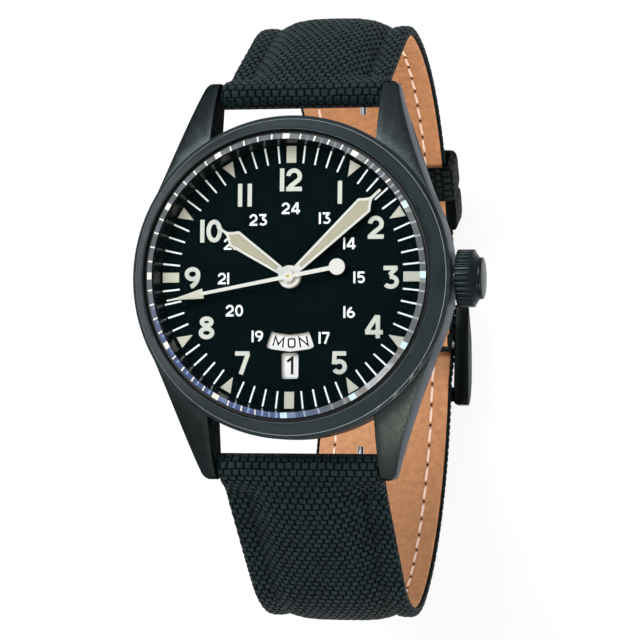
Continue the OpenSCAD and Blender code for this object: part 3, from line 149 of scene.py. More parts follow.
# Calendar: a date ring and a day disc of thin brass, lacquered silver-white and printed in
# black. The date shows at 6 o'clock, with the day above it. The figures stand upright there.
# Thin lacquer gives the discs an even, pale satin
silver_lacquer = dull_finish("silver_white_lacquer_satin", "#e4dcd8", 0.42, 0.1, relief=0.08, tone=0.04)
dress(silver_lacquer, "date_ring", "day_disc")


def arc(cx, cy, rx, ry, start, end, count=18):
    """Points on an ellipse from one angle to another, in degrees."""
    angles = [math.radians(start + (end - start) * i / count) for i in range(count + 1)]
    return [(cx + rx * math.cos(a), cy + ry * math.sin(a)) for a in angles]


def figure_strokes(t):
    """Width and strokes of each figure and letter, one unit high, drawn by the middle lines of
    strokes t wide."""
    h = t / 2
    top, low, r = 1 - h, h, 0.35 - h
    return {
        "0": (0.70, [arc(0.35, 0.5, r, 0.5 - h, 0, 360, 40)]),
        "1": (t, [[(h, 0), (h, 1)]]),
        "i": (0.44, [[(0, 0.74), (0.30, 0.97), (0.30, 0.9)], [(0.30, 1), (0.30, 0)]]),
        "2": (0.70, [arc(0.35, 0.65, r, 0.35 - h, 176, -36, 26) + [(h + 0.10, 0.22), (h + 0.02, low)],
                     [(0.0, low), (0.70, low)]]),
        "3": (0.72, [[(0.04, top), (0.66, top)], [(0.60, top), (0.31, 0.60)],
                     arc(0.36, 0.31, 0.36 - h, 0.31 - h, 100, -148, 30)]),
        "4": (0.78, [[(0.56, 0), (0.56, 1)], [(0.52, 0.97), (0.06, 0.28)], [(0.01, 0.26), (0.78, 0.26)]]),
        "5": (0.70, [[(0.66, top), (0.13, top)], [(0.16, 1), (0.13, 0.44)],
                     arc(0.36, 0.33, 0.34 - h, 0.33 - h, 140, -148, 30)]),
        "6": (0.70, [arc(0.35, 0.31, r, 0.31 - h, 0, 360, 36),
                     arc(0.62, 0.36, 0.62 - h, 0.64 - h, 180, 112, 12)]),
        "7": (0.66, [[(0.0, top), (0.64, top)], [(0.58, top), (0.26, 0.0)]]),
        "8": (0.70, [arc(0.35, 0.28, r, 0.28 - h, 0, 360, 36),
                     arc(0.35, 0.755, 0.31 - h, 0.245 - h, 0, 360, 32)]),
        "9": (0.70, [arc(0.35, 0.69, r, 0.31 - h, 0, 360, 36),
                     arc(0.08, 0.64, 0.62 - h, 0.64 - h, 0, -68, 12)]),
        "A": (0.86, [[(0.06, 0), (0.43, 1)], [(0.43, 1), (0.80, 0)], [(0.18, 0.32), (0.68, 0.32)]]),
        "D": (0.80, [[(h, 0), (h, 1)],
                     [(h, top)] + arc(0.42, 0.5, 0.38 - h, 0.5 - h, 90, -90, 24) + [(h, low)]]),
        "E": (0.66, [[(h, 0), (h, 1)], [(h, top), (0.66, top)], [(h, 0.5), (0.58, 0.5)],
                     [(h, low), (0.66, low)]]),
        "F": (0.64, [[(h, 0), (h, 1)], [(h, top), (0.64, top)], [(h, 0.5), (0.56, 0.5)]]),
        "H": (0.78, [[(h, 0), (h, 1)], [(0.78 - h, 0), (0.78 - h, 1)], [(h, 0.5), (0.78 - h, 0.5)]]),
        "I": (t, [[(h, 0), (h, 1)]]),
        "M": (1.18, [[(h, 0), (h + 0.06, 1), (0.59, 0.22), (1.12 - h, 1), (1.18 - h, 0)]]),
        "N": (0.98, [[(h, 0), (h + 0.02, 1), (0.96 - h, 0.04), (0.98 - h, 1)]]),
        "O": (0.84, [[(0.24, top)] + arc(0.60, 0.76, 0.24 - h, 0.24 - h, 90, 0, 6)
                     + arc(0.60, 0.24, 0.24 - h, 0.24 - h, 0, -90, 6)
                     + arc(0.24, 0.24, 0.24 - h, 0.24 - h, -90, -180, 6)
                     + arc(0.24, 0.76, 0.24 - h, 0.24 - h, 180, 90, 6)]),
        "R": (0.74, [[(h, 0), (h, 1)],
                     [(h, top)] + arc(0.42, 0.74, 0.30 - h, 0.26 - h, 90, -90, 18) + [(h, 0.48)],
                     [(0.40, 0.48), (0.68, 0)]]),
        "S": (0.74, [arc(0.37, 0.735, 0.34 - h, 0.265 - h, 20, 270, 22)
                     + arc(0.37, 0.265, 0.37 - h, 0.265 - h, 90, -160, 22)]),
        "T": (0.74, [[(0, top), (0.74, top)], [(0.37, top), (0.37, 0)]]),
        "U": (0.78, [[(h, 1)] + arc(0.39, 0.36, 0.39 - h, 0.36 - h, 180, 360, 20) + [(0.78 - h, 1)]]),
        "W": (1.16, [[(h, 1), (0.30, 0.02), (0.58, 0.86), (0.86, 0.02), (1.16 - h, 1)]]),
    }


def stroke_band(points, width):
    """Left and right edges of a band along the points, mitred at each bend."""
    p = np.array(points, float)
    closed = len(p) > 3 and np.linalg.norm(p[0] - p[-1]) < 1e-6
    ways = np.diff(p, axis=0)
    ways /= np.linalg.norm(ways, axis=1)[:, None]
    before = np.vstack([ways[-1] if closed else ways[0], ways])
    after = np.vstack([ways, ways[0] if closed else ways[-1]])
    middle = before + after
    middle /= np.linalg.norm(middle, axis=1)[:, None]
    across = np.stack([-middle[:, 1], middle[:, 0]], 1)
    reach = width / 2 / np.maximum(0.4, (middle * after).sum(1))
    return p + across * reach[:, None], p - across * reach[:, None]


def figure_mesh(text, height, t, gap=0.10, bars_gap=0.24):
    """The strokes of a row of figures, its middle at the origin, each as (points, faces)."""
    glyphs = figure_strokes(t)
    bands, x = [], 0.0
    for i, letter in enumerate(text):
        width, strokes = glyphs[letter]
        for stroke in strokes:
            left, right = stroke_band(stroke, t)
            points = [(p[0] + x, p[1]) for pair in zip(left, right) for p in pair]
            bands.append((points, [(2 * j, 2 * j + 1, 2 * j + 3, 2 * j + 2) for j in range(len(left) - 1)]))
        x += width + (bars_gap if text[i:i + 2] == "11" else gap)
    x -= gap
    return [([((px - x / 2) * height, (py - 0.5) * height) for px, py in points], faces)
            for points, faces in bands]


def deselect():
    """Nothing stays selected or in edit mode before a new piece is made."""
    if bpy.context.object and bpy.context.object.mode != "OBJECT":
        bpy.ops.object.mode_set(mode="OBJECT")
    bpy.ops.object.select_all(action="DESELECT")


def take_up(piece):
    """Selects one piece alone and makes it active."""
    deselect()
    piece.select_set(True)
    bpy.context.view_layer.objects.active = piece


def smooth_over(piece, degrees):
    """Shades the piece smooth, with an edge wherever it turns by more than the angle."""
    take_up(piece)
    bpy.ops.object.shade_smooth_by_angle(angle=math.radians(degrees))


def mesh_piece(name, points, faces, material, smooth=None, uv=None):
    """A piece from points in millimetres, with its map for cloth or leather if it has one."""
    mesh = bpy.data.meshes.new(name)
    mesh.from_pydata([(x * MM, y * MM, z * MM) for x, y, z in points], [], faces)
    if uv is not None:
        layer = mesh.uv_layers.new(name="cloth")
        corner = np.empty(len(mesh.loops), np.int32)
        mesh.loops.foreach_get("vertex_index", corner)
        layer.data.foreach_set("uv", np.asarray(uv, np.float32)[corner].ravel())
    piece = bpy.data.objects.new(name, mesh)
    bpy.context.scene.collection.objects.link(piece)
    mesh.materials.append(material)
    if smooth is not None:
        smooth_over(piece, smooth)
    return piece


def finish_modifiers(piece):
    """Applies every modifier of the piece, in order."""
    take_up(piece)
    for modifier in list(piece.modifiers):
        bpy.ops.object.modifier_apply(modifier=modifier.name)


def carry(piece, body, node=None):
    """The piece rides on a body and may stand for a node, whose part is then hidden."""
    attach(piece, body)
    if node:
        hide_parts(node)


def printed(name, marks, z, thickness, material, body):
    """One thin piece of several flat outlines: (points, faces) in millimetres at height z."""
    points, faces = [], []
    for level, (outline, around) in enumerate(marks):
        first = len(points)
        # Strokes that cross lie a few micrometres apart
        points += [(x, y, z + 0.004 * (level % 4)) for x, y in outline]
        for face in around:
            ring = [outline[i] for i in face]
            area = sum(a[0] * b[1] - a[1] * b[0] for a, b in zip(ring, ring[1:] + ring[:1]))
            faces.append(tuple(first + i for i in (face if area > 0 else reversed(face))))
    piece = mesh_piece(name, points, faces, material)
    solid = piece.modifiers.new("thickness", "SOLIDIFY")
    solid.thickness, solid.offset = thickness * MM, 1.0
    finish_modifiers(piece)
    carry(piece, body)


def turned(points, degrees, x=0.0, y=0.0):
    """Points turned clockwise about the origin and then moved."""
    a = math.radians(-degrees)
    return [(px * math.cos(a) - py * math.sin(a) + x, px * math.sin(a) + py * math.cos(a) + y)
            for px, py in points]


black_print = dull_finish("pad_printing_ink_black", "#0a0908", 0.5, 0.05, relief=0.05, gloss=0.1)
DATE_RADIUS, DAY_RADIUS = 11.45, 8.5
date_marks = []
for day in range(1, 32):
    narrow = 0.72 if day > 9 else 1.0
    for outline, around in figure_mesh("i" if day == 1 else str(day), 2.2, 0.155, gap=0.12, bars_gap=0.26):
        outline = [(x * narrow, y - DATE_RADIUS) for x, y in outline]
        date_marks.append((turned(outline, -(day - 1) * 360 / 31), around))
printed("date_figures", date_marks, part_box("date_ring")[1].z / MM, 0.015, black_print, "date_ring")

LETTER_TALL, LETTER_GAP, LETTER_STROKE = 1.28, 0.42, 0.17
letter_strokes = figure_strokes(LETTER_STROKE)
day_marks = []
for index, name in enumerate(("MON", "TUE", "WED", "THU", "FRI", "SAT", "SUN")):
    widths = [letter_strokes[letter][0] * LETTER_TALL for letter in name]
    at = -(sum(widths) + LETTER_GAP * (len(name) - 1)) / 2
    for letter, width in zip(name, widths):
        swing = math.degrees((at + width / 2) / DAY_RADIUS)
        for outline, around in figure_mesh(letter, LETTER_TALL, LETTER_STROKE):
            outline = [(x, y - DAY_RADIUS) for x, y in outline]
            day_marks.append((turned(outline, -swing - index * 360 / 7), around))
        at += width + LETTER_GAP
printed("day_names", day_marks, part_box("day_disc")[1].z / MM, 0.015, black_print, "day_disc")

# Dial: a brass disc, lacquered matt black. The hour figures, the quarter bars and the hour
# triangles are thick cream luminous paint, and the minute ticks and 24-hour figures are
# printed in white.
dial_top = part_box("dial")[1].z / MM
# The matt lacquer gives nearly no shine, luminous paint is chalky, and printing a clean flat white
matt_black = dull_finish("black_dial_lacquer_matt", "#020a0b", 0.6, 0.12, relief=0.12, tone=0.25,
                         gloss=0.012)
dress(matt_black, "dial")
luminous = dull_finish("luminous_paint_cream", "#bdb8a6", 0.6, 0.14, relief=0.35, tone=0.05)
hour_paint = dull_finish("luminous_paint_hour_figures", "#bfbdb1", 0.55, 0.12, relief=0.2, tone=0.03)
white_print = dull_finish("pad_printing_ink_white", "#f4f5f1", 0.45, 0.06, relief=0.05, tone=0.02)

hour_places = {"12": (-0.05, 12.63), "1": (6.43, 10.93), "2": (11.18, 6.36), "3": (13.18, -0.09),
               "4": (11.04, -6.44), "5": (6.5, -11.08), "7": (-6.26, -11.09), "8": (-11.09, -6.55),
               "9": (-13.05, -0.12), "10": (-10.62, 6.05), "11": (-6.15, 10.69)}
day_places = {"24": (-0.03, 8.93), "13": (4.45, 7.6), "14": (7.73, 4.31), "15": (9.04, -0.07),
              "16": (7.77, -4.55), "17": (4.51, -7.86), "19": (-4.32, -7.67), "20": (-7.4, -4.32),
              "21": (-8.9, -0.14), "22": (-7.75, 4.35), "23": (-4.35, 7.46)}
for name, places, figure_size, thickness, paint in (
        ("hour_figures", hour_places, (2.97, 0.19, 0.09, 0.24), 0.05, hour_paint),
        ("day_figures", day_places, (1.5, 0.17, 0.13, 0.3), 0.02, white_print)):
    marks = [(turned(outline, 0, x, y), around) for text, (x, y) in places.items()
             for outline, around in figure_mesh(text, *figure_size)]
    printed(name, marks, dial_top, thickness, paint, "case")

TRACK = 14.84
tick = [(-0.11, TRACK), (0.11, TRACK), (0.11, 17.1), (-0.11, 17.1)]
marks = [(turned(tick, minute * 6), [(0, 1, 2, 3)]) for minute in range(60) if minute % 5]
printed("minute_ticks", marks, dial_top, 0.02, white_print, "case")

triangle = [(-0.78, 16.95), (0.0, 14.95), (0.78, 16.95)]
quarter_bar = [(-0.635, TRACK), (0.635, TRACK), (0.635, 17.0), (-0.635, 17.0)]
marks = []
for hour in range(12):
    shape = triangle if hour % 3 else quarter_bar
    marks.append((turned(shape, hour * 30), [tuple(range(len(shape)))]))
printed("hour_blocks", marks, dial_top, 0.14, luminous, "case")

# Hands: stamped brass, lacquered white, pushed on the tubes of the motion work. The slots of
# the hour and minute hands and the wedge of the seconds hand hold luminous paint.
# Lacquer over polished brass gives a soft shine, and the paint in the slots looks yellower
hand_white = dull_finish("hand_lacquer_white", "#c8c3ba", 0.4, 0.1, relief=0.05, tone=0.03)
hand_luminous = dull_finish("luminous_paint_hands", "#9d957c", 0.6, 0.14, relief=0.35, tone=0.05)
dress(hand_white, "hour_hand", "minute_hand", "second_hand")
for node, length, tip, degrees, body in (("hour_hand", 11.7, 1.5, 304.1, "hour_group"),
                                         ("minute_hand", 16.3, 1.6, 46.9, "minute_group")):
    low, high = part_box(node)
    shoulder = length - tip - 1.25
    half = [(0.18, 2.0), (0.79, shoulder - 0.08), (0.33, shoulder + 0.42), (0.06, shoulder + 0.88)]
    shape = half + [(-x, y) for x, y in reversed(half)]
    printed(node + "_paint", [(turned(shape, degrees), [tuple(range(len(shape)))])], low.z / MM + 0.03,
            (high.z - low.z) / MM - 0.055, hand_luminous, body)
tip = max(math.hypot(v.co.x, v.co.y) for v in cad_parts["second_hand"].data.vertices) / MM
wedge = [(-0.46, tip - 4.75), (0.46, tip - 4.75), (0.1, tip - 1.6), (-0.1, tip - 1.6)]
printed("second_hand_paint", [(turned(wedge, 259.1), [(0, 1, 2, 3)])],
        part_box("second_hand")[1].z / MM - 0.06, 0.04, luminous, "fourth_wheel")

# Case and bezel: stainless steel, turned and milled, blasted with fine grit and coated dark
# grey. The bezel is pressed over the neck, a thin painted highlight runs round its rim, and
# the lugs are drilled for the spring bars.
def welded_copy(node, body, material, smooth=32, bevel=None, segments=2, level=None):
    """A copy of a CAD node with its triangles joined, its edges eased, standing for that node."""
    piece = bpy.data.objects.new(node + "_finished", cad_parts[node].data.copy())
    bpy.context.scene.collection.objects.link(piece)
    piece.data.materials.clear()
    piece.data.materials.append(material)
    take_up(piece)
    bpy.ops.object.mode_set(mode="EDIT")
    bpy.ops.mesh.select_all(action="SELECT")
    bpy.ops.mesh.remove_doubles(threshold=0.002 * MM)
    bpy.ops.mesh.dissolve_limited(angle_limit=math.radians(0.08))
    bpy.ops.object.mode_set(mode="OBJECT")
    if level:
        level(piece.data)
    if bevel:
        ease = piece.modifiers.new("eased", "BEVEL")
        ease.width, ease.segments = bevel * MM, segments
        ease.limit_method, ease.angle_limit = "ANGLE", math.radians(28)
        ease.use_clamp_overlap = False
        finish_modifiers(piece)
    smooth_over(piece, smooth)
    carry(piece, body, node)
    return piece


def coated_steel(name, colour, roughness, grit_mm, relief, sparkle, fleck_colour, rim="#8a8f92"):
    """Coated steel: pits of the blasting, drawn coarser than the real 0.05 mm so that they
    show, glint as paler flecks, and rim is its tint at a grazing angle."""
    material = new_finish(name)
    place = add_node(material, "TexCoord").outputs["Object"]
    grit = add_node(material, "TexVoronoi", {"Scale": 1 / (grit_mm * MM), "Vector": place})
    haze = add_node(material, "TexNoise", {"Scale": 1 / (2.5 * MM), "Detail": 5.0, "Vector": place})
    flecks = add_node(material, "MapRange", {
        "From Min": 0.35, "From Max": 0.0, "To Max": sparkle, "Value": grit})
    base = add_node(material, "Mix", {
        "data_type": "RGBA", 0: haze, 6: linear(colour), 7: linear(colour, 1.25)})
    tint = add_node(material, "Mix", {"data_type": "RGBA", 0: flecks, 6: base, 7: linear(fleck_colour)})
    rough = add_node(material, "MapRange", {
        "To Min": roughness * 0.85, "To Max": roughness * 1.15, "Value": haze})
    bump = add_node(material, "Bump", {"Strength": relief, "Distance": grit_mm * MM * 0.3, "Height": grit})
    surface = add_node(material, "BsdfPrincipled", {
        "Metallic": 1.0, "Specular Tint": linear(rim), "Base Color": tint, "Roughness": rough,
        "Normal": bump})
    add_node(material, "OutputMaterial", {"Surface": surface})
    return material


# Blasting gives dark grey a fine glitter, finer on the bezel. The flanks are satin, and their paler grey is
# painted light
case_steel = coated_steel("stainless_steel_blasted_and_coated", "#282e2f", 0.42, 0.16, 0.35, 0.42, "#75797a")
bezel_steel = coated_steel("stainless_steel_fine_blasted_bezel", "#2a3337", 0.4, 0.12, 0.2, 0.2, "#7a8184",
                           rim="#e0e4e6")
flank_steel_painted_light = coated_steel("stainless_steel_flank_satin_painted_light", "#5c6066", 0.34, 0.12, 0.12, 0.1, "#8d9598",
                           rim="#b0b4b8")
# The flank's plane is given by three of its points, and the step lies between two corners
FLANK = ((18.86, 7.37, 1.83), (19.45, 8.0, 3.77), (18.09, 11.11, 3.33))
STEP_CORNERS = np.array(((17.9, 6.9, 1.1), (99.0, 9.6, 4.05))) * MM
STEP_DEPTH = 0.8 * MM


def level_flanks(mesh):
    """Brings the small step beside each lug root out to the plane of the leaned-in flank."""
    low, high, far = (np.array(p) * MM for p in FLANK)
    out = np.cross(high - low, far - low)
    out *= math.copysign(1, out[0]) / np.linalg.norm(out)
    for vertex in mesh.vertices:
        x, y, z = vertex.co
        at = np.array([abs(x), abs(y), z])
        depth = (at - low) @ out
        if (at > STEP_CORNERS[0]).all() and (at < STEP_CORNERS[1]).all() and -STEP_DEPTH < depth < 0:
            at -= depth * out
            vertex.co = (math.copysign(at[0], x), math.copysign(at[1], y), at[2])


case = welded_copy("case_body", "case", case_steel, smooth=30, bevel=0.12, level=level_flanks)
# Faces that lean out to the sides take the satin flank steel, its paler grey painted light
case.data.materials.append(flank_steel_painted_light)
for face in case.data.polygons:
    side = math.copysign(1, face.center.x) * face.normal.x
    if side > 0.25 and -0.9 < face.normal.z < 0.5 and math.hypot(*face.center[:2]) > 19 * MM:
        face.material_index = 1

bezel = welded_copy("bezel", "case", bezel_steel, smooth=14, bevel=0.05)
# The bore's wall is painted near black as shade, and a thin ring of paler steel on the rim is a painted
# highlight line
shade_black = dull_finish("bore_and_crystal_wall_painted_shade", "#050707", 0.5, 0.15, relief=0.1, gloss=0.1)
painted_highlight_rim = metal_finish("stainless_steel_bezel_painted_highlight_line", "#a4aaad", 0.3, 0.12, relief=0.05)
bezel.data.materials.append(shade_black)
bezel.data.materials.append(painted_highlight_rim)
# Faces in a thin ring at the rim's outer edge take the painted highlight, and the bore's wall the painted
# shade
INNER_WALL, HIGHLIGHT_RING_FROM, HIGHLIGHT_RING_TO = 18.9 * MM, 20.38 * MM, 20.6 * MM
for face in bezel.data.polygons:
    radius = math.hypot(*face.center[:2])
    outward = (face.normal.x * face.center.x + face.normal.y * face.center.y) / radius
    if radius < INNER_WALL and outward < -0.25:
        face.material_index = 1
    elif HIGHLIGHT_RING_FROM < radius < HIGHLIGHT_RING_TO and outward > 0.35 and face.normal.z > 0.2:
        face.material_index = 2

# Case back: stainless steel, turned and brushed in rings, and screwed in by the six wrench
# notches round its rim.
# Brushing gives the bare steel a soft, silvery shine
back_steel = metal_finish("stainless_steel_brushed", "#a9adb0", 0.32, 0.14, relief=0.3)
welded_copy("case_back", "case", back_steel, smooth=28, bevel=0.08)

# Inner ring and crystal: a black lacquered brass ring round the dial, and a flat sapphire
# with a ground bevel, coated against reflections, pressed in with a ring of black gasket.
# Glossy lacquer makes the ring a dark mirror of the dial and the glass
ring_black = dull_finish("black_lacquer_gloss", "#0b0f11", 0.2, 0.2, relief=0.03, gloss=0.3)
welded_copy("flange_ring", "case", ring_black, smooth=30)


def let_light_in(material, shader):
    """Shows the shader, but leaves the way clear for the light on what lies under the glass."""
    clear = add_node(material, "BsdfTransparent", {"Color": linear("#f0f4f6")})
    ray = add_node(material, "LightPath").outputs
    either = add_node(material, "Math", {
        "operation": "MAXIMUM", 0: ray["Is Shadow Ray"], 1: ray["Is Diffuse Ray"]})
    mixed = add_node(material, "MixShader", {0: either, 1: shader, 2: clear})
    add_node(material, "OutputMaterial", {"Surface": mixed})


# Sapphire is colourless with a high IOR, and its coating takes most of the reflections off
sapphire = new_finish("sapphire_crystal_coated")
place = add_node(sapphire, "TexCoord").outputs["Object"]
film = add_node(sapphire, "TexNoise", {"Scale": 1 / (9 * MM), "Detail": 2.0, "Vector": place})
coating = add_node(sapphire, "Mix", {
    "data_type": "RGBA", 0: film, 6: linear("#f4f8fb"), 7: linear("#fbfcfc")})
glass = add_node(sapphire, "BsdfPrincipled", {
    "Roughness": 0.0, "IOR": 1.77, "Transmission Weight": 1.0, "Specular Tint": linear("#0c1418"),
    "Base Color": coating})
let_light_in(sapphire, glass)

# The ground bevel is half clear. Painted reflections of the minute and hour marks lie on it
# as pale strokes, cooler towards 4 o'clock, where the minute strokes fade, and a painted blue
# glow lies towards 8 o'clock.
ground = new_finish("sapphire_ground_bevel_painted_reflections")
place = add_node(ground, "TexCoord").outputs["Object"]
film = add_node(ground, "TexNoise", {"Scale": 1 / (3 * MM), "Detail": 3.0, "Vector": place})
grey = add_node(ground, "Mix", {"data_type": "RGBA", 0: film, 6: linear("#5e6367"), 7: linear("#929aa1")})
outward = add_node(ground, "VectorMath", {"operation": "NORMALIZE", 0: place})
towards_8 = add_node(ground, "VectorMath", {"operation": "DOT_PRODUCT", 0: outward, 1: (-0.5, -0.86, 0.0)})
towards_4 = add_node(ground, "VectorMath", {"operation": "DOT_PRODUCT", 0: outward, 1: (0.85, -0.53, 0.0)})
# A painted blue glow towards 8 o'clock stands for the reflection in the coating
painted_blue_glow = add_node(ground, "MapRange", {
    "interpolation_type": "SMOOTHSTEP", "From Min": 0.45, "From Max": 0.75, "To Max": 0.85,
    "Value": towards_8})
painted_minute_side = add_node(ground, "MapRange", {"From Min": 0.45, "From Max": 0.25, "Value": towards_4})
tint = add_node(ground, "Mix", {"data_type": "RGBA", 0: painted_blue_glow, 6: grey, 7: linear("#5a72ae")})
flat = add_node(ground, "SeparateXYZ", {0: outward}).outputs
turn = add_node(ground, "Math", {"operation": "ARCTAN2", 0: flat[0], 1: flat[1]})
painted_mark_strokes = []
for count, half_share in ((60, 0.055), (12, 0.048)):
    steps = add_node(ground, "Math", {"operation": "MULTIPLY", 0: turn, 1: count / (2 * math.pi)})
    off = add_node(ground, "Math", {"operation": "PINGPONG", 0: steps, 1: 0.5})
    painted_mark_strokes.append(add_node(ground, "Math", {"operation": "LESS_THAN", 0: off, 1: half_share}))
painted_minute_strokes = add_node(ground, "Math", {"operation": "MULTIPLY", 0: painted_mark_strokes[0], 1: painted_minute_side})
painted_stroke_mask = add_node(ground, "Math", {"operation": "MAXIMUM", 0: painted_minute_strokes, 1: painted_mark_strokes[1]})
# Warm white strokes, cooler towards 4 o'clock, are painted reflections of the marks
painted_stroke_white = add_node(ground, "Mix", {
    "data_type": "RGBA", 0: painted_minute_side, 6: linear("#bfe0f2"), 7: linear("#ecebe4")})
painted_stroke_colour = add_node(ground, "Mix", {"data_type": "RGBA", 0: painted_stroke_mask, 6: tint, 7: painted_stroke_white})
satin = add_node(ground, "BsdfPrincipled", {"Roughness": 0.3, "Base Color": painted_stroke_colour})
clearness = add_node(ground, "MapRange", {"To Min": 0.6, "To Max": 0.25, "Value": painted_stroke_mask})
glass = add_node(ground, "BsdfPrincipled", {
    "Roughness": 0.02, "IOR": 1.77, "Transmission Weight": 1.0, "Specular Tint": linear("#5a6a80"),
    "Base Color": tint})
let_light_in(ground, add_node(ground, "MixShader", {0: clearness, 1: satin, 2: glass}))

BEVEL_TALL, BEVEL_WIDE = 0.4 * MM, 0.7 * MM
low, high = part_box("crystal")
deselect()
bpy.ops.mesh.primitive_cylinder_add(
    vertices=256, radius=high.x, depth=high.z - low.z - BEVEL_TALL, end_fill_type="NGON",
    location=(0, 0, (low.z + high.z - BEVEL_TALL) / 2))
crystal = bpy.context.object
crystal.name = "crystal_ground"
bpy.ops.object.transform_apply(location=True, rotation=True, scale=True)
bpy.ops.object.mode_set(mode="EDIT")
bpy.ops.mesh.select_all(action="DESELECT")
bpy.ops.object.mode_set(mode="OBJECT")
max(crystal.data.polygons, key=lambda face: face.center.z).select = True
bpy.ops.object.mode_set(mode="EDIT")
bpy.context.tool_settings.mesh_select_mode = (False, False, True)
bpy.ops.mesh.extrude_region_move(TRANSFORM_OT_translate={"value": (0, 0, BEVEL_TALL)})
inner = (high.x - BEVEL_WIDE) / high.x
bpy.ops.transform.resize(value=(inner, inner, 1))
bpy.ops.object.mode_set(mode="OBJECT")
# The crystal's upright side wall takes the same near-black painted shade
for material in (sapphire, ground, shade_black):
    crystal.data.materials.append(material)
for face in crystal.data.polygons:
    face.material_index = 1 if 0.3 < face.normal.z < 0.98 else (2 if abs(face.normal.z) < 0.2 else 0)
smooth_over(crystal, 20)
carry(crystal, "case", "crystal")

# Crown: coated steel, its grip cut with 32 round flutes and its end dished and chamfered. It
# is screwed on the stem and pulls out to set the hands.
crown_steel = coated_steel("stainless_steel_crown_coated", "#191f21", 0.3, 0.14, 0.12, 0.12, "#6d7577",
                           rim="#e0e4e6")
welded_copy("crown", "crown", crown_steel, smooth=35, bevel=0.05)

# Spring bars and buckle bar: bright stainless steel rods, with the knobs of the quick
# releases sliding in them.
bright_steel = metal_finish("stainless_steel_turned_bright", "#b9bdc0", 0.24, 0.15, relief=0.1)
dress(bright_steel, "spring_bar_12", "spring_bar_6", "quick_release_12", "quick_release_6", "buckle_bar")

# Strap path: the straps close in one loop below the case. Distances run along its inside in
# millimetres from the upper spring bar, and n stands outward from it. Each run of the loop is
# its length and the angle that it turns.
START = (23.6206, 1.45, -60.0)
RUNS = ((19.6927, 0), (15 * math.radians(34), 34), (38 * math.radians(86), 86), (4.03891, 0),
        (39 * math.radians(66), 66), (18 * math.radians(64), 64), (24.5322, 0))
LOOP, SHORT, LONG = 179.233, 88.7, 119.533
LUG_END, BUCKLE_END, TIP = 3.4, 2.4, 7


def loop_at(s):
    """Place and heading on the loop: Y, Z and degrees."""
    y, z, h = START
    for i, (length, turn) in enumerate(RUNS):
        last = i == len(RUNS) - 1
        step = s if (last or s <= length) else length
        bend = turn * step / length
        a, b = math.radians(h), math.radians(h - bend)
        if turn == 0:
            y, z = y + step * math.cos(a), z + step * math.sin(a)
        else:
            r = length / math.radians(turn)
            y, z = y + r * (math.sin(a) - math.sin(b)), z + r * (math.cos(b) - math.cos(a))
        h -= bend
        if last or s <= length:
            return y, z, h
        s -= length


def set_out(s, x, n):
    """The point that stands n out from the loop at s, x to the side."""
    y, z, h = loop_at(s)
    a = math.radians(h)
    return (x, y - n * math.sin(a), z + n * math.cos(a))


def from_12(d):
    """Where the loop is at d from the upper spring bar."""
    return d


def from_6(d):
    """Where the loop is at d from the lower spring bar."""
    return LOOP - d


def ease(t):
    u = min(1.0, max(0.0, t))
    return u * u * (3 - 2 * u)


def between(a, b, t):
    return a + (b - a) * ease(t)


def half_width(d):
    """Half of a strap's width at d from its spring bar."""
    return (21.6 + (20 - 21.6) * ease(d / 75)) / 2


def sunk(d):
    """How far a strap's inside lies below the loop beside its spring bar."""
    return -0.8 * (1 - ease(d / 8))


def long_rise(d):
    """How far the long strap's inside stands out, over the short one and down beyond its end."""
    s = LOOP - d
    if s > SHORT - 4:
        return 2.55 * (1 - ease((s - SHORT - 0.4) / 6)) + sunk(d)
    return between(2.15, 2.55, (s - SHORT + 14) / 10) + sunk(d)


def nose(end_t, d):
    """Half thickness of a wrapped end, rounded beyond d = 0."""
    return end_t / 2 if d >= 0 else math.sqrt(max(0.04, end_t * end_t / 4 - d * d))


def short_section(s):
    """Half width, floor, edge, crown, channel and rise of the short strap at s."""
    d = min(s, SHORT - s)
    lug = s < SHORT / 2
    end_t, blend, edge_l = (LUG_END, 26, 6) if lug else (BUCKLE_END, 6, 5)
    edge = end_t / 2 + nose(end_t, d) if d < 0 else between(end_t, 1.5, d / edge_l)
    crown = end_t / 2 + nose(end_t, d) if d < 0 else between(end_t, 2.0, (d - blend / 5) / blend)
    floor = end_t / 2 - nose(end_t, d) if d < 0 else (0.8 if d > 1.5 else 0.0)
    puff = 0.55 * ease((s - 6) / 10) * (1 - ease((s - 34) / 16))
    channel = 0.4 * ease((d - 3) / 3)
    return half_width(s), floor, edge, max(edge, crown) + puff, channel, sunk(s) if lug else 0.0


def tip_width(d):
    """Share of the long strap's width that is left in its rounded tip."""
    t = (d - LONG + TIP) / TIP
    return 1.0 if t <= 0 else math.sqrt(max(0.03, 1 - t * t * 0.97))


def long_section(d):
    """The same for the long strap, d from its spring bar."""
    thin = between(2.0, 1.6, (d - LOOP + 95.8 + 6) / 8)
    edge_full = LUG_END / 2 + nose(LUG_END, d) if d < 0 else between(LUG_END, 1.5, d / 6)
    edge = edge_full if d < 6 else min(edge_full, thin - 0.1)
    crown = LUG_END / 2 + nose(LUG_END, d) if d < 0 else between(LUG_END, thin, (d - 5.2) / 26)
    floor = LUG_END / 2 - nose(LUG_END, d) if d < 0 else (0.8 if d > 1.5 else 0.0)
    channel = 0.4 * ease((d - 3) / 3) * (1 - ease((d - 70) / 20))
    puff = 0.1 * ease((d - 6) / 10) * (1 - ease((d - 34) / 16))
    return half_width(d) * tip_width(d), floor, edge, max(edge, crown) + puff, channel, long_rise(d)


# Strap outside: two layers of woven polyester over a thin pad, rolled at both edges and sewn
# along a channel beside each roll. Its coarse plain weave shows as short raised floats, with a
# painted highlight on top of each float and painted shade, nearly black, in the gaps.
WEAVE, ROW, RELIEF = 1.1, 1.02, 0.17
STEP = ROW / 5
COLUMNS, UNDER = 134, 10


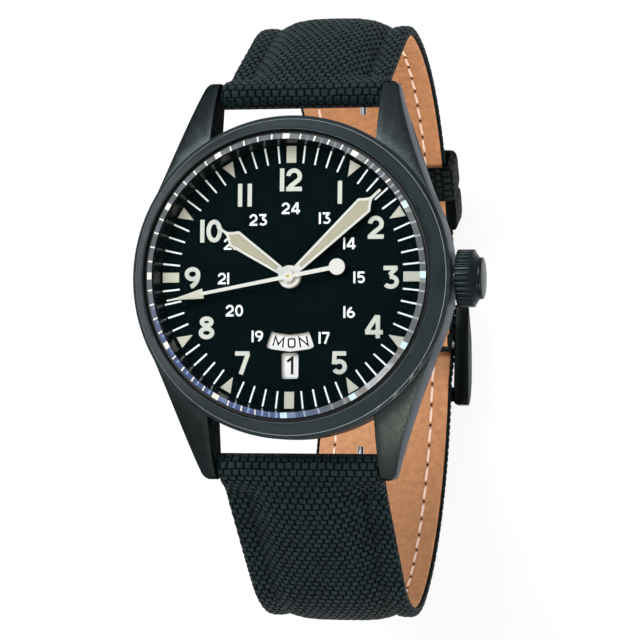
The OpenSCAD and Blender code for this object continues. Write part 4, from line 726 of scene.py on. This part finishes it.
def section_curve(w, floor, edge, crown, channel):
    """Evenly spaced points over the top of a section, from the left foot to the right."""
    k = min(1, w / 9)
    roll = w - 2.9 * k
    rise = crown - edge
    right = [(w, floor), (w, edge - 0.45 * k), (w - 0.12 * k, edge - 0.16 * k), (w - 0.5 * k, edge),
             (roll + 1.3 * k, edge + 0.02), (roll + 0.5 * k, edge - channel * 0.35), (roll, edge - channel),
             (roll - 0.6 * k, edge + rise * 0.2 - channel * 0.3), (roll - 2.4 * k, edge + rise * 0.7),
             (w * 0.3, edge + rise * 0.95), (0, crown)]
    outline = np.array([(-x, y) for x, y in right] + [(x, y) for x, y in reversed(right[:-1])])
    along = np.concatenate([[0], np.cumsum(np.linalg.norm(np.diff(outline, axis=0), axis=1))])
    at = np.linspace(0, along[-1], COLUMNS)
    x, y = np.interp(at, along, outline[:, 0]), np.interp(at, along, outline[:, 1])
    for _ in range(2):
        for line in (x, y):
            line[1:-1] = (line[:-2] + 2 * line[1:-1] + line[2:]) / 4
    return x, y, at - along[-1] / 2


def floats(u, v):
    """Height from 0 to 1 of the raised floats at u across and v along, laid like bricks."""
    row = np.floor(v / ROW)
    x = np.mod(u + np.where(np.mod(row, 2) == 0, WEAVE / 2, 0), WEAVE)
    y = v - row * ROW
    t = np.clip(np.minimum(np.minimum(x, WEAVE - x), np.minimum(y, ROW - y)) / 0.26, 0, 1)
    return t * t * (3 - 2 * t)


def ring_faces(rows, count, outward=True, wrap=False):
    """Quads between rows of count points, with both ends closed unless the rows wrap round."""
    faces = []
    for r in range(rows if wrap else rows - 1):
        here, beyond = r * count, (r + 1) % rows * count
        faces += [(here + c, here + (c + 1) % count, beyond + (c + 1) % count, beyond + c)
                  for c in range(count)]
    if not wrap:
        faces += [tuple(reversed(range(count))), tuple(range((rows - 1) * count, rows * count))]
    return faces if outward else [face[::-1] for face in faces]


def woven_strap(stations, section, at_loop):
    """Points and map of a closed woven skin over (d, v), v the distance along the cloth."""
    points, uv = [], []
    d_end = max(d for d, v in stations) - 2.5
    for d, v in stations:
        w, floor, edge, crown, channel, up = section(d)
        foot = floor - 0.5 * ease((d - 2) / 1.5) * ease((d_end - d) / 1.5)
        x, n, u = section_curve(w, foot, edge, crown, channel)
        u = u * (10.8 / half_width(max(0, d)))
        slope_x, slope_n = np.gradient(x), np.gradient(n)
        size = np.hypot(slope_x, slope_n) + 1e-9
        rise = floats(u, np.full_like(u, v)) * RELIEF - RELIEF * 0.5
        rise[[0, -1]] = 0
        x, n = x - slope_n / size * rise, n + slope_x / size * rise
        points += [set_out(at_loop(d), px, pn + up) for px, pn in zip(x, n)]
        uv += [(pu, v) for pu in u]
        inner = max(0.2, w - 0.42)
        for i in range(UNDER):
            px = inner - 2 * inner * max(0, min(UNDER - 3, i - 1)) / (UNDER - 3)
            points.append(set_out(at_loop(d), px, (foot if i in (0, UNDER - 1) else floor) + up))
            uv.append((px, -v - 3))
    return points, uv


def cloth_finish(name, dark, light, highlight):
    """Woven cloth: a painted highlight on top of each float, painted shade in the gaps, and threads
    along each float, which are drawn 0.08 mm apart so that they show."""
    material = new_finish(name)
    weave_map = add_node(material, "UVMap", {"uv_map": "cloth"})
    wobble = add_node(material, "TexNoise", {"Scale": 0.9, "Detail": 2.0, "Vector": weave_map})
    shift = add_node(material, "VectorMath", {
        "operation": "MULTIPLY_ADD", 0: wobble.outputs["Color"], 1: (0.5, 0.35, 0.0),
        2: (-0.25, -0.17, 0.0)})
    moved = add_node(material, "VectorMath", {"operation": "ADD", 0: weave_map, 1: shift})
    # Rows are stretched, so that a gap across the strap is narrower than one along it
    stretched = add_node(material, "Mapping", {"Scale": (1.0, 1.6, 1.0), "Vector": moved})
    bricks = add_node(material, "TexBrick", {
        "offset": 0.5, "Scale": 1.0, "Mortar Size": 0.25, "Mortar Smooth": 1.0, "Brick Width": WEAVE,
        "Row Height": ROW * 1.6, "Color1": (0.78, 0.78, 0.78, 1.0), "Color2": (1.0, 1.0, 1.0, 1.0),
        "Mortar": (0.9, 0.9, 0.9, 1.0), "Vector": stretched}).outputs
    # The ramp paints a highlight on top of each float and shade in the gaps
    painted_weave_shading = add_node(material, "ValToRGB", {"Fac": bricks["Fac"]})
    stops = painted_weave_shading.color_ramp.elements
    stops.new(0.42)
    for stop, position, colour in zip(stops, (0.0, 0.42, 0.95), (highlight, light, dark)):
        stop.position, stop.color = position, linear(colour)
    thread_map = add_node(material, "Mapping", {"Scale": (5.0, 13.0, 1.0), "Vector": weave_map})
    threads = add_node(material, "TexNoise", {"Scale": 1.0, "Detail": 2.0, "Vector": thread_map})
    patches = add_node(material, "TexNoise", {"Scale": 0.12, "Detail": 3.0, "Vector": weave_map})
    shade = add_node(material, "MapRange", {
        "From Min": 0.3, "From Max": 0.7, "To Min": 0.45, "To Max": 1.6, "Value": threads})
    wear = add_node(material, "MapRange", {
        "From Min": 0.3, "From Max": 0.7, "To Min": 0.85, "To Max": 1.2, "Value": patches})
    both = add_node(material, "Math", {"operation": "MULTIPLY", 0: shade, 1: wear})
    scaled = add_node(material, "VectorMath", {"operation": "SCALE", 0: painted_weave_shading, "Scale": both})
    tint = add_node(material, "VectorMath", {"operation": "MULTIPLY", 0: scaled, 1: bricks["Color"]})
    height = add_node(material, "Math", {"operation": "MULTIPLY_ADD", 0: bricks["Fac"], 1: -1.2, 2: threads})
    bump = add_node(material, "Bump", {"Strength": 0.8, "Distance": 0.12 * MM, "Height": height})
    sheen = add_node(material, "MapRange", {
        "From Min": 0.0, "From Max": 0.8, "To Min": 0.06, "To Max": 0.015, "Value": bricks["Fac"]})
    surface = add_node(material, "BsdfPrincipled", {
        "Roughness": 0.5, "Base Color": tint, "Normal": bump, "Specular IOR Level": sheen})
    add_node(material, "OutputMaterial", {"Surface": surface})
    return material


def nose_rows(end_t):
    """Stations round a wrapped end: (d, v), from the nose's tip inwards."""
    r = end_t / 2
    steps = int(r * math.radians(82) / STEP)
    angles = [math.radians(82 * (steps - i) / steps) for i in range(steps)]
    return [(-r * math.sin(a), -r * a) for a in angles]


def tip_rows(angles):
    """Distances that follow the round of the long strap's tip."""
    return [LONG - TIP + TIP * math.sin(math.radians(a)) for a in angles]


strap_cloth = cloth_finish("woven_polyester_black", "#030a0b", "#0e191b", "#19272b")
short_rows = [i * STEP for i in range(int(SHORT / STEP) + 1)]
short_rows = nose_rows(LUG_END) + [(d, d) for d in short_rows if d < SHORT - 0.01] + [(SHORT, SHORT)]
short_rows += [(SHORT - d, SHORT - v) for d, v in reversed(nose_rows(BUCKLE_END))]
long_rows = nose_rows(LUG_END) + [(i * STEP, i * STEP) for i in range(int((LONG - TIP) / STEP) + 1)]
tip_from = long_rows[-1][0] + 0.02
long_rows += [(d, d) for d in tip_rows(i * 86 / 40 for i in range(1, 41)) if d > tip_from]
for strap, rows, section, at_loop, outward in (("12", short_rows, short_section, from_12, True),
                                               ("6", long_rows, long_section, from_6, False)):
    points, uv = woven_strap(rows, section, at_loop)
    faces = ring_faces(len(rows), COLUMNS + UNDER, outward)
    cloth = mesh_piece(f"strap_{strap}_cloth", points, faces, strap_cloth, smooth=60, uv=uv)
    carry(cloth, "case", "strap_" + strap)

# Strap inside: tan vegetable-tanned leather, split to 0.8 mm, glued and sewn under the cloth.
# Bending has left fine creases across it. Its surface is matt, mottled and a little uneven.
def leather_finish(name, colour, crease_shade_colour):
    """Leather: creases run across the strap, pores and tone come from noise on the strap's map.
    Its pores are drawn 0.3 mm apart so that they show."""
    material = new_finish(name)
    strap_map = add_node(material, "UVMap", {"uv_map": "cloth"})
    stretched = add_node(material, "Mapping", {"Scale": (0.55, 1.1, 1.0), "Vector": strap_map})
    creases = add_node(material, "TexNoise", {
        "Scale": 1.0, "Detail": 5.0, "Distortion": 0.6, "Vector": stretched})
    pores = add_node(material, "TexVoronoi", {"Scale": 3.2, "Vector": strap_map})
    tone = add_node(material, "TexNoise", {
        "Scale": 0.9, "Detail": 7.0, "Roughness": 0.62, "Vector": strap_map})
    lines = add_node(material, "MapRange", {
        "From Min": 0.46, "From Max": 0.3, "To Max": 0.1, "Value": creases})
    mottle = add_node(material, "MapRange", {"From Min": 0.36, "From Max": 0.64, "Value": tone})
    base = add_node(material, "Mix", {
        "data_type": "RGBA", 0: mottle, 6: linear(colour, 1.04), 7: linear(colour, 0.8)})
    # Folds gather where the strap bends most, within 14 mm of 38 mm from its spring bar
    along = add_node(material, "SeparateXYZ", {0: strap_map}).outputs[1]
    from_bend = add_node(material, "Math", {"operation": "SUBTRACT", 0: along, 1: 38.0})
    away = add_node(material, "Math", {"operation": "ABSOLUTE", 0: from_bend})
    bent = add_node(material, "MapRange", {
        "interpolation_type": "SMOOTHSTEP", "From Min": 14.0, "From Max": 0.0, "Value": away})
    long_map = add_node(material, "Mapping", {"Scale": (0.09, 0.75, 1.0), "Vector": strap_map})
    wrinkle = add_node(material, "TexNoise", {
        "Scale": 1.0, "Detail": 4.0, "Distortion": 1.2, "Vector": long_map})
    off_middle = add_node(material, "Math", {"operation": "SUBTRACT", 0: wrinkle, 1: 0.5})
    off_line = add_node(material, "Math", {"operation": "ABSOLUTE", 0: off_middle})
    fold = add_node(material, "MapRange", {
        "interpolation_type": "SMOOTHSTEP", "From Min": 0.035, "From Max": 0.0, "Value": off_line})
    folds = add_node(material, "Math", {"operation": "MULTIPLY", 0: fold, 1: bent})
    # Creases and folds are darkened in the colour as painted shade
    darker = add_node(material, "Math", {"operation": "MULTIPLY_ADD", 0: folds, 1: 0.35, 2: lines})
    tint = add_node(material, "Mix", {"data_type": "RGBA", 0: darker, 6: base, 7: linear(crease_shade_colour)})
    grain = add_node(material, "Math", {"operation": "MULTIPLY_ADD", 0: pores, 1: 0.25, 2: creases})
    height = add_node(material, "Math", {"operation": "MULTIPLY_ADD", 0: folds, 1: -1.2, 2: grain})
    bump = add_node(material, "Bump", {"Strength": 0.35, "Distance": 0.25 * MM, "Height": height})
    surface = add_node(material, "BsdfPrincipled", {
        "Roughness": 0.6, "Specular IOR Level": 0.2, "Base Color": tint, "Normal": bump})
    add_node(material, "OutputMaterial", {"Surface": surface})
    return material


leather = leather_finish("vegetable_tanned_leather_tan", "#ba8760", "#7d4c2e")


def lining(strap, rows, width, rise, at_loop, outward):
    """Leather band with eased edges: rows of d, 25 points round each."""
    points, uv = [], []
    for d in rows:
        w, n = width(d) - 0.4, rise(d)
        ring = [(-w + 0.25 + (2 * w - 0.5) * i / 16, n - 0.02 - 0.03 * math.sin(math.pi * i / 16))
                for i in range(17)]
        ring += [(w - 0.08, n + 0.06), (w, n + 0.2), (w, n + 0.66), (w - 0.1, n + 0.8),
                 (-w + 0.1, n + 0.8), (-w, n + 0.66), (-w, n + 0.2), (-w + 0.08, n + 0.06)]
        points += [set_out(at_loop(d), x, m) for x, m in ring]
        uv += [(x, d) for x, m in ring]
    faces = ring_faces(len(rows), len(ring), outward)
    piece = mesh_piece(f"lining_{strap}_leather", points, faces, leather, smooth=50, uv=uv)
    carry(piece, "case", "lining_" + strap)


lining("12", [1.6 + i * (SHORT - 1.2) / 174 for i in range(175)], half_width, sunk, from_12, False)
lining("6", [1.6 + i * (LONG - TIP - 1.6) / 210 for i in range(211)] + tip_rows(range(3, 85, 4)),
       lambda d: half_width(d) * tip_width(d), long_rise, from_6, True)

# Stitches: waxed thread, saddle sewn 3.2 mm apart, 2.8 mm in from each edge. It shows pale on
# the leather, sunk at both ends of each stitch, and black in the channels of the cloth.
PITCH, SEAM_IN, STITCH, THREAD = 3.2, 2.8, 2.8, 0.19
# Wax makes thread a little stiff and dull, and the needle holes are dark cups of painted shade
pale_thread = dull_finish("waxed_polyester_thread_pale", "#ead2c6", 0.6, 0.12, relief=0.3)
black_thread = dull_finish("waxed_polyester_thread_black", "#040506", 0.6, 0.12, relief=0.3, gloss=0.1)
hole_shade = dull_finish("needle_hole_painted_shade", "#3a251a", 0.8, 0.1, relief=0.2, gloss=0.1)


def face_outwards(piece):
    """Turns every face of a closed piece outwards."""
    take_up(piece)
    bpy.ops.object.mode_set(mode="EDIT")
    bpy.ops.mesh.select_all(action="SELECT")
    bpy.ops.mesh.normals_make_consistent(inside=False)
    bpy.ops.object.mode_set(mode="OBJECT")


def stitch_row(name, starts, height, at_loop, material, outer):
    """Stitches as bent capsules of 9 rings of 6 points: starts are distances along the strap."""
    points, faces = [], []
    for d in starts:
        for side in (-1, 1):
            first = len(points)
            for i in range(9):
                t = i / 8
                r = THREAD * math.sqrt(max(0.05, 1 - (2 * t - 1) ** 6))
                at = d + STITCH * (t - 0.5)
                x = side * (half_width(d) - SEAM_IN) + side * 0.12 * (t - 0.5)
                sink = height(at) + outer * (0.10 - 0.34 * abs(2 * t - 1) ** 3)
                for k in range(6):
                    a = k * math.pi / 3
                    points.append(set_out(at_loop(at), x + r * math.cos(a), sink + r * 0.8 * math.sin(a)))
            faces += [tuple(first + i for i in face) for face in ring_faces(9, 6)]
    piece = mesh_piece(name, points, faces, material)
    face_outwards(piece)
    smooth_over(piece, 80)
    carry(piece, "case")


def needle_holes(name, starts, height, at_loop):
    """Needle holes between the stitches as painted shade: flat dark cups of 10 sides just
    proud of the leather.
    """
    points, faces = [], []
    for d in starts:
        for side in (-1, 1):
            first = len(points)
            at, x = d + PITCH / 2, side * (half_width(d) - SEAM_IN)
            for r, out in ((0.25, 0.01), (0.19, -0.03)):
                for k in range(10):
                    a = k * math.pi / 5
                    points.append(set_out(at_loop(at + r * math.sin(a)), x + r * 0.85 * math.cos(a),
                                          height(at) - 0.05 + out))
            faces += [tuple(first + i for i in face) for face in ring_faces(2, 10)]
    piece = mesh_piece(name, points, faces, hole_shade)
    face_outwards(piece)
    carry(piece, "case")


def channel_floor(section, d):
    """Height of the sewn channel in the cloth."""
    edge, _, channel, up = section(d)[2:]
    return edge - channel + up - 0.02


FIRST_STITCH = 6
seams = [(strap, [FIRST_STITCH + i * PITCH for i in range(int(seam / PITCH) + 1)], section, rise, at_loop)
         for strap, seam, section, rise, at_loop in (("12", SHORT - 12, short_section, sunk, from_12),
                                                     ("6", LONG - 14, long_section, long_rise, from_6))]
for strap, starts, section, rise, at_loop in seams:
    stitch_row(f"stitches_{strap}_inside", starts, rise, at_loop, pale_thread, -1)
for strap, starts, section, rise, at_loop in seams:
    needle_holes("needle_holes_" + strap, starts, rise, at_loop)
for strap, starts, section, rise, at_loop in seams:
    stitch_row(f"stitches_{strap}_outside", starts, lambda d: channel_floor(section, d), at_loop,
               black_thread, 1)

# Keepers: the same cloth, folded double into bands. The fixed one is sewn in beside the
# buckle and stands far out, and the free one slides on both straps.
keeper_cloth = cloth_finish("woven_polyester_keeper", "#06090a", "#0a1012", "#12191c")
BAND_THICK, AROUND = 1.16, 36


def keeper(node, station, path, closed, width, body):
    """Padded band along a path of (x, n), with a rounded flat section."""
    p = np.array(path, float)
    for _ in range(2):
        q = np.empty((2 * len(p) - (0 if closed else 1), 2))
        q[0::2] = p
        q[1::2] = (p + np.roll(p, -1, 0))[:len(q) // 2] / 2
        p = q
        if closed:
            p = (np.roll(p, 1, 0) + 2 * p + np.roll(p, -1, 0)) / 4
        else:
            p[1:-1] = (p[:-2] + 2 * p[1:-1] + p[2:]) / 4
    # A closed path comes back to its start, and an open one repeats its end
    p = np.vstack([p, p[:1] if closed else p[-1:]])
    along = np.concatenate([[0], np.cumsum(np.linalg.norm(np.diff(p, axis=0), axis=1))])
    count = int(along[-1] / 0.18)
    at = np.linspace(0, along[-1], count, endpoint=not closed)
    px, pn = np.interp(at, along, p[:, 0]), np.interp(at, along, p[:, 1])
    tx, tn = (np.roll(line, -1) - np.roll(line, 1) for line in (px, pn))
    if not closed:
        tx[0], tn[0], tx[-1], tn[-1] = px[1] - px[0], pn[1] - pn[0], px[-1] - px[-2], pn[-1] - pn[-2]
    size = np.hypot(tx, tn)
    y0, z0, h = loop_at(station)
    sin_h, cos_h = math.sin(math.radians(h)), math.cos(math.radians(h))
    points, uv = [], []
    for i in range(count):
        for k in range(AROUND):
            t = 2 * math.pi * k / AROUND
            c, s = math.cos(t), math.sin(t)
            across = math.copysign(abs(c) ** 0.35, c) * width / 2
            on_map = (across + (7 if s < 0 else 0), at[i])
            out = BAND_THICK / 2 * math.copysign(abs(s) ** 0.6, s) * (1.0 - 0.10 * (2 * across / width) ** 4)
            rib = 0.06 * float(floats(*on_map)) - 0.03
            out += rib * (1 if s > 0 else -1) * min(1, abs(s) * 2)
            x, n = px[i] + tn[i] / size[i] * out, pn[i] - tx[i] / size[i] * out
            points.append((x, y0 - n * sin_h + across * cos_h, z0 + n * cos_h + across * sin_h))
            uv.append(on_map)
    piece = mesh_piece(node + "_cloth", points, ring_faces(count, AROUND, wrap=closed), keeper_cloth, uv=uv)
    face_outwards(piece)
    smooth_over(piece, 70)
    carry(piece, body, node)


def band_path(x, n0, n1, corner):
    """Path of a band's middle line, its corners rounded, once round from the bottom left."""
    path = []
    for cx, cn, start in ((-x + corner, n0 + corner, 270), (-x + corner, n1 - corner, 180),
                          (x - corner, n1 - corner, 90), (x - corner, n0 + corner, 0)):
        path += arc(cx, cn, corner, corner, start, start - 90, 3)
    return path


FREE_AT, FIXED_AT, FIXED_TOP = 63.6, 69.1, 6.99
free_half = half_width(FREE_AT) + 0.8
keeper("free_keeper", FREE_AT, band_path(free_half, -0.92, 4.95, 0.9), True, 5.5, "free_keeper")
side = half_width(FIXED_AT) + 0.63
fixed_path = [(-side, 0.2), (-side, FIXED_TOP / 2), (-side, FIXED_TOP - 1.2),
              (-side + 0.3, FIXED_TOP - 0.35), (-side + 1.1, FIXED_TOP)]
fixed_path += [(-side + 1.1 + (2 * side - 2.2) * i / 8, FIXED_TOP) for i in range(1, 8)]
fixed_path += [(-x, n) for x, n in reversed(fixed_path[:5])]
keeper("fixed_keeper", FIXED_AT, fixed_path, False, 4.8, "case")

# Buckle: a cast steel frame with rounded arms, coated satin black, and its tongue. It turns on
# the bar in the end of the short strap.
# Satin coating gives the black a soft, even shine with hardly a fleck
buckle_steel = coated_steel("stainless_steel_satin_black_coated", "#121516", 0.26, 0.3, 0.08, 0.05,
                            "#3b4144")
welded_copy("buckle_frame", "buckle", buckle_steel, smooth=40, bevel=0.35, segments=4)
welded_copy("buckle_tongue", "tongue", buckle_steel, smooth=40, bevel=0.18, segments=3)

# Camera: a long lens a little above the dial's upper right, as the photograph was taken. Its
# focal length is known in pixels of a frame 640 wide.
deselect()
bpy.ops.object.camera_add(location=(0.08220, -0.02563, 0.38275))
camera = bpy.context.object
camera.data.sensor_width = 36
camera.data.lens = 2970.70 / 640 * 36
camera.data.clip_start, camera.data.clip_end = 0.01, 10
turn_z, turn_x, turn_y = (Matrix.Rotation(math.radians(degrees), 4, axis)
                          for axis, degrees in (("Z", -0.505), ("X", -3.004), ("Y", -11.808)))
camera.matrix_world = Matrix.Translation(camera.location) @ (turn_z @ turn_x @ turn_y).transposed()
bpy.context.scene.camera = camera

# Floor and light: a white sweep below the buckle in a white room, one large soft lamp above
# the dial, a fainter one at each side, and a small warm one low at the right.
# The room's walls are seen in full, but give less light, and metal mirrors them darker at the sides
world = bpy.data.worlds.new("studio")
bpy.context.scene.world = world
world.use_nodes = True
world.node_tree.nodes.clear()
ray = add_node(world, "LightPath").outputs
seen = add_node(world, "Math", {
    "operation": "MAXIMUM", 0: ray["Is Camera Ray"], 1: ray["Is Transmission Ray"]})
mirrored = add_node(world, "Math", {"operation": "MAXIMUM", 0: ray["Is Glossy Ray"], 1: seen})
level = add_node(world, "MapRange", {"To Min": 0.42, "To Max": 1.0, "Value": mirrored})
toward = add_node(world, "SeparateXYZ", {0: add_node(world, "TexCoord").outputs["Generated"]})
sideways = add_node(world, "Math", {"operation": "ABSOLUTE", 0: toward})
walls = add_node(world, "MapRange", {
    "interpolation_type": "SMOOTHSTEP", "From Min": 0.35, "From Max": 0.8, "To Min": 1.0, "To Max": 0.12,
    "Value": sideways})
dimmed = add_node(world, "Mix", {"data_type": "FLOAT", 0: ray["Is Glossy Ray"], 2: 1.0, 3: walls})
strength = add_node(world, "Math", {"operation": "MULTIPLY", 0: level, 1: dimmed})
room = add_node(world, "Background", {"Color": (1, 1, 1, 1), "Strength": strength})
add_node(world, "OutputWorld", {"Surface": room})

deselect()
bpy.ops.mesh.primitive_grid_add(x_subdivisions=8, y_subdivisions=8, size=3.0, location=(0, 0, -0.0651))
floor = bpy.context.object
floor.name = "floor"
bpy.ops.object.transform_apply(location=True, rotation=True, scale=True)
# Matt paper looks evenly white, and pale enough to fade into the room
sweep = new_finish("paper_white_matt")
place = add_node(sweep, "TexCoord").outputs["Object"]
fibres = add_node(sweep, "TexNoise", {"Scale": 900.0, "Detail": 2.0, "Vector": place})
paper = add_node(sweep, "Mix", {"data_type": "RGBA", 0: fibres, 6: linear("#f4f4f4"), 7: linear("#fbfbfb")})
matt = add_node(sweep, "BsdfDiffuse", {"Color": paper})
glow = add_node(sweep, "Emission", {"Strength": 1.0})
ray = add_node(sweep, "LightPath").outputs
seen = add_node(sweep, "Math", {"operation": "MAXIMUM", 0: ray["Is Camera Ray"], 1: ray["Is Glossy Ray"]})
seen_too = add_node(sweep, "Math", {"operation": "MAXIMUM", 0: seen, 1: ray["Is Transmission Ray"]})
part = add_node(sweep, "Math", {"operation": "MULTIPLY", 0: seen_too, 1: 0.86})
both = add_node(sweep, "MixShader", {0: part, 1: matt, 2: glow})
add_node(sweep, "OutputMaterial", {"Surface": both})
floor.data.materials.append(sweep)

for name, spot, power, wide, tall, colour in (
        ("lamp_above", (-0.25, 0.45, 0.75), 11.5, 0.7, 0.4, (1.0, 1.0, 1.0)),
        ("lamp_left", (-0.8, -0.1, 0.35), 1.0, 0.4, 0.6, (1.0, 1.0, 1.0)),
        ("lamp_right", (0.8, 0.0, 0.30), 1.2, 0.4, 0.6, (1.0, 1.0, 1.0)),
        ("lamp_low", (0.45, -0.60, 0.50), 5.2, 0.25, 0.2, (1.0, 0.84, 0.68))):
    light = bpy.data.lights.new(name, "AREA")
    light.shape, light.size, light.size_y, light.energy, light.color = "RECTANGLE", wide, tall, power, colour
    lamp = bpy.data.objects.new(name, light)
    bpy.context.scene.collection.objects.link(lamp)
    lamp.location = spot
    lamp.rotation_euler = lamp.location.to_track_quat("Z", "Y").to_euler()

bpy.context.scene.view_settings.view_transform = "Standard"
bpy.context.view_layer.update()
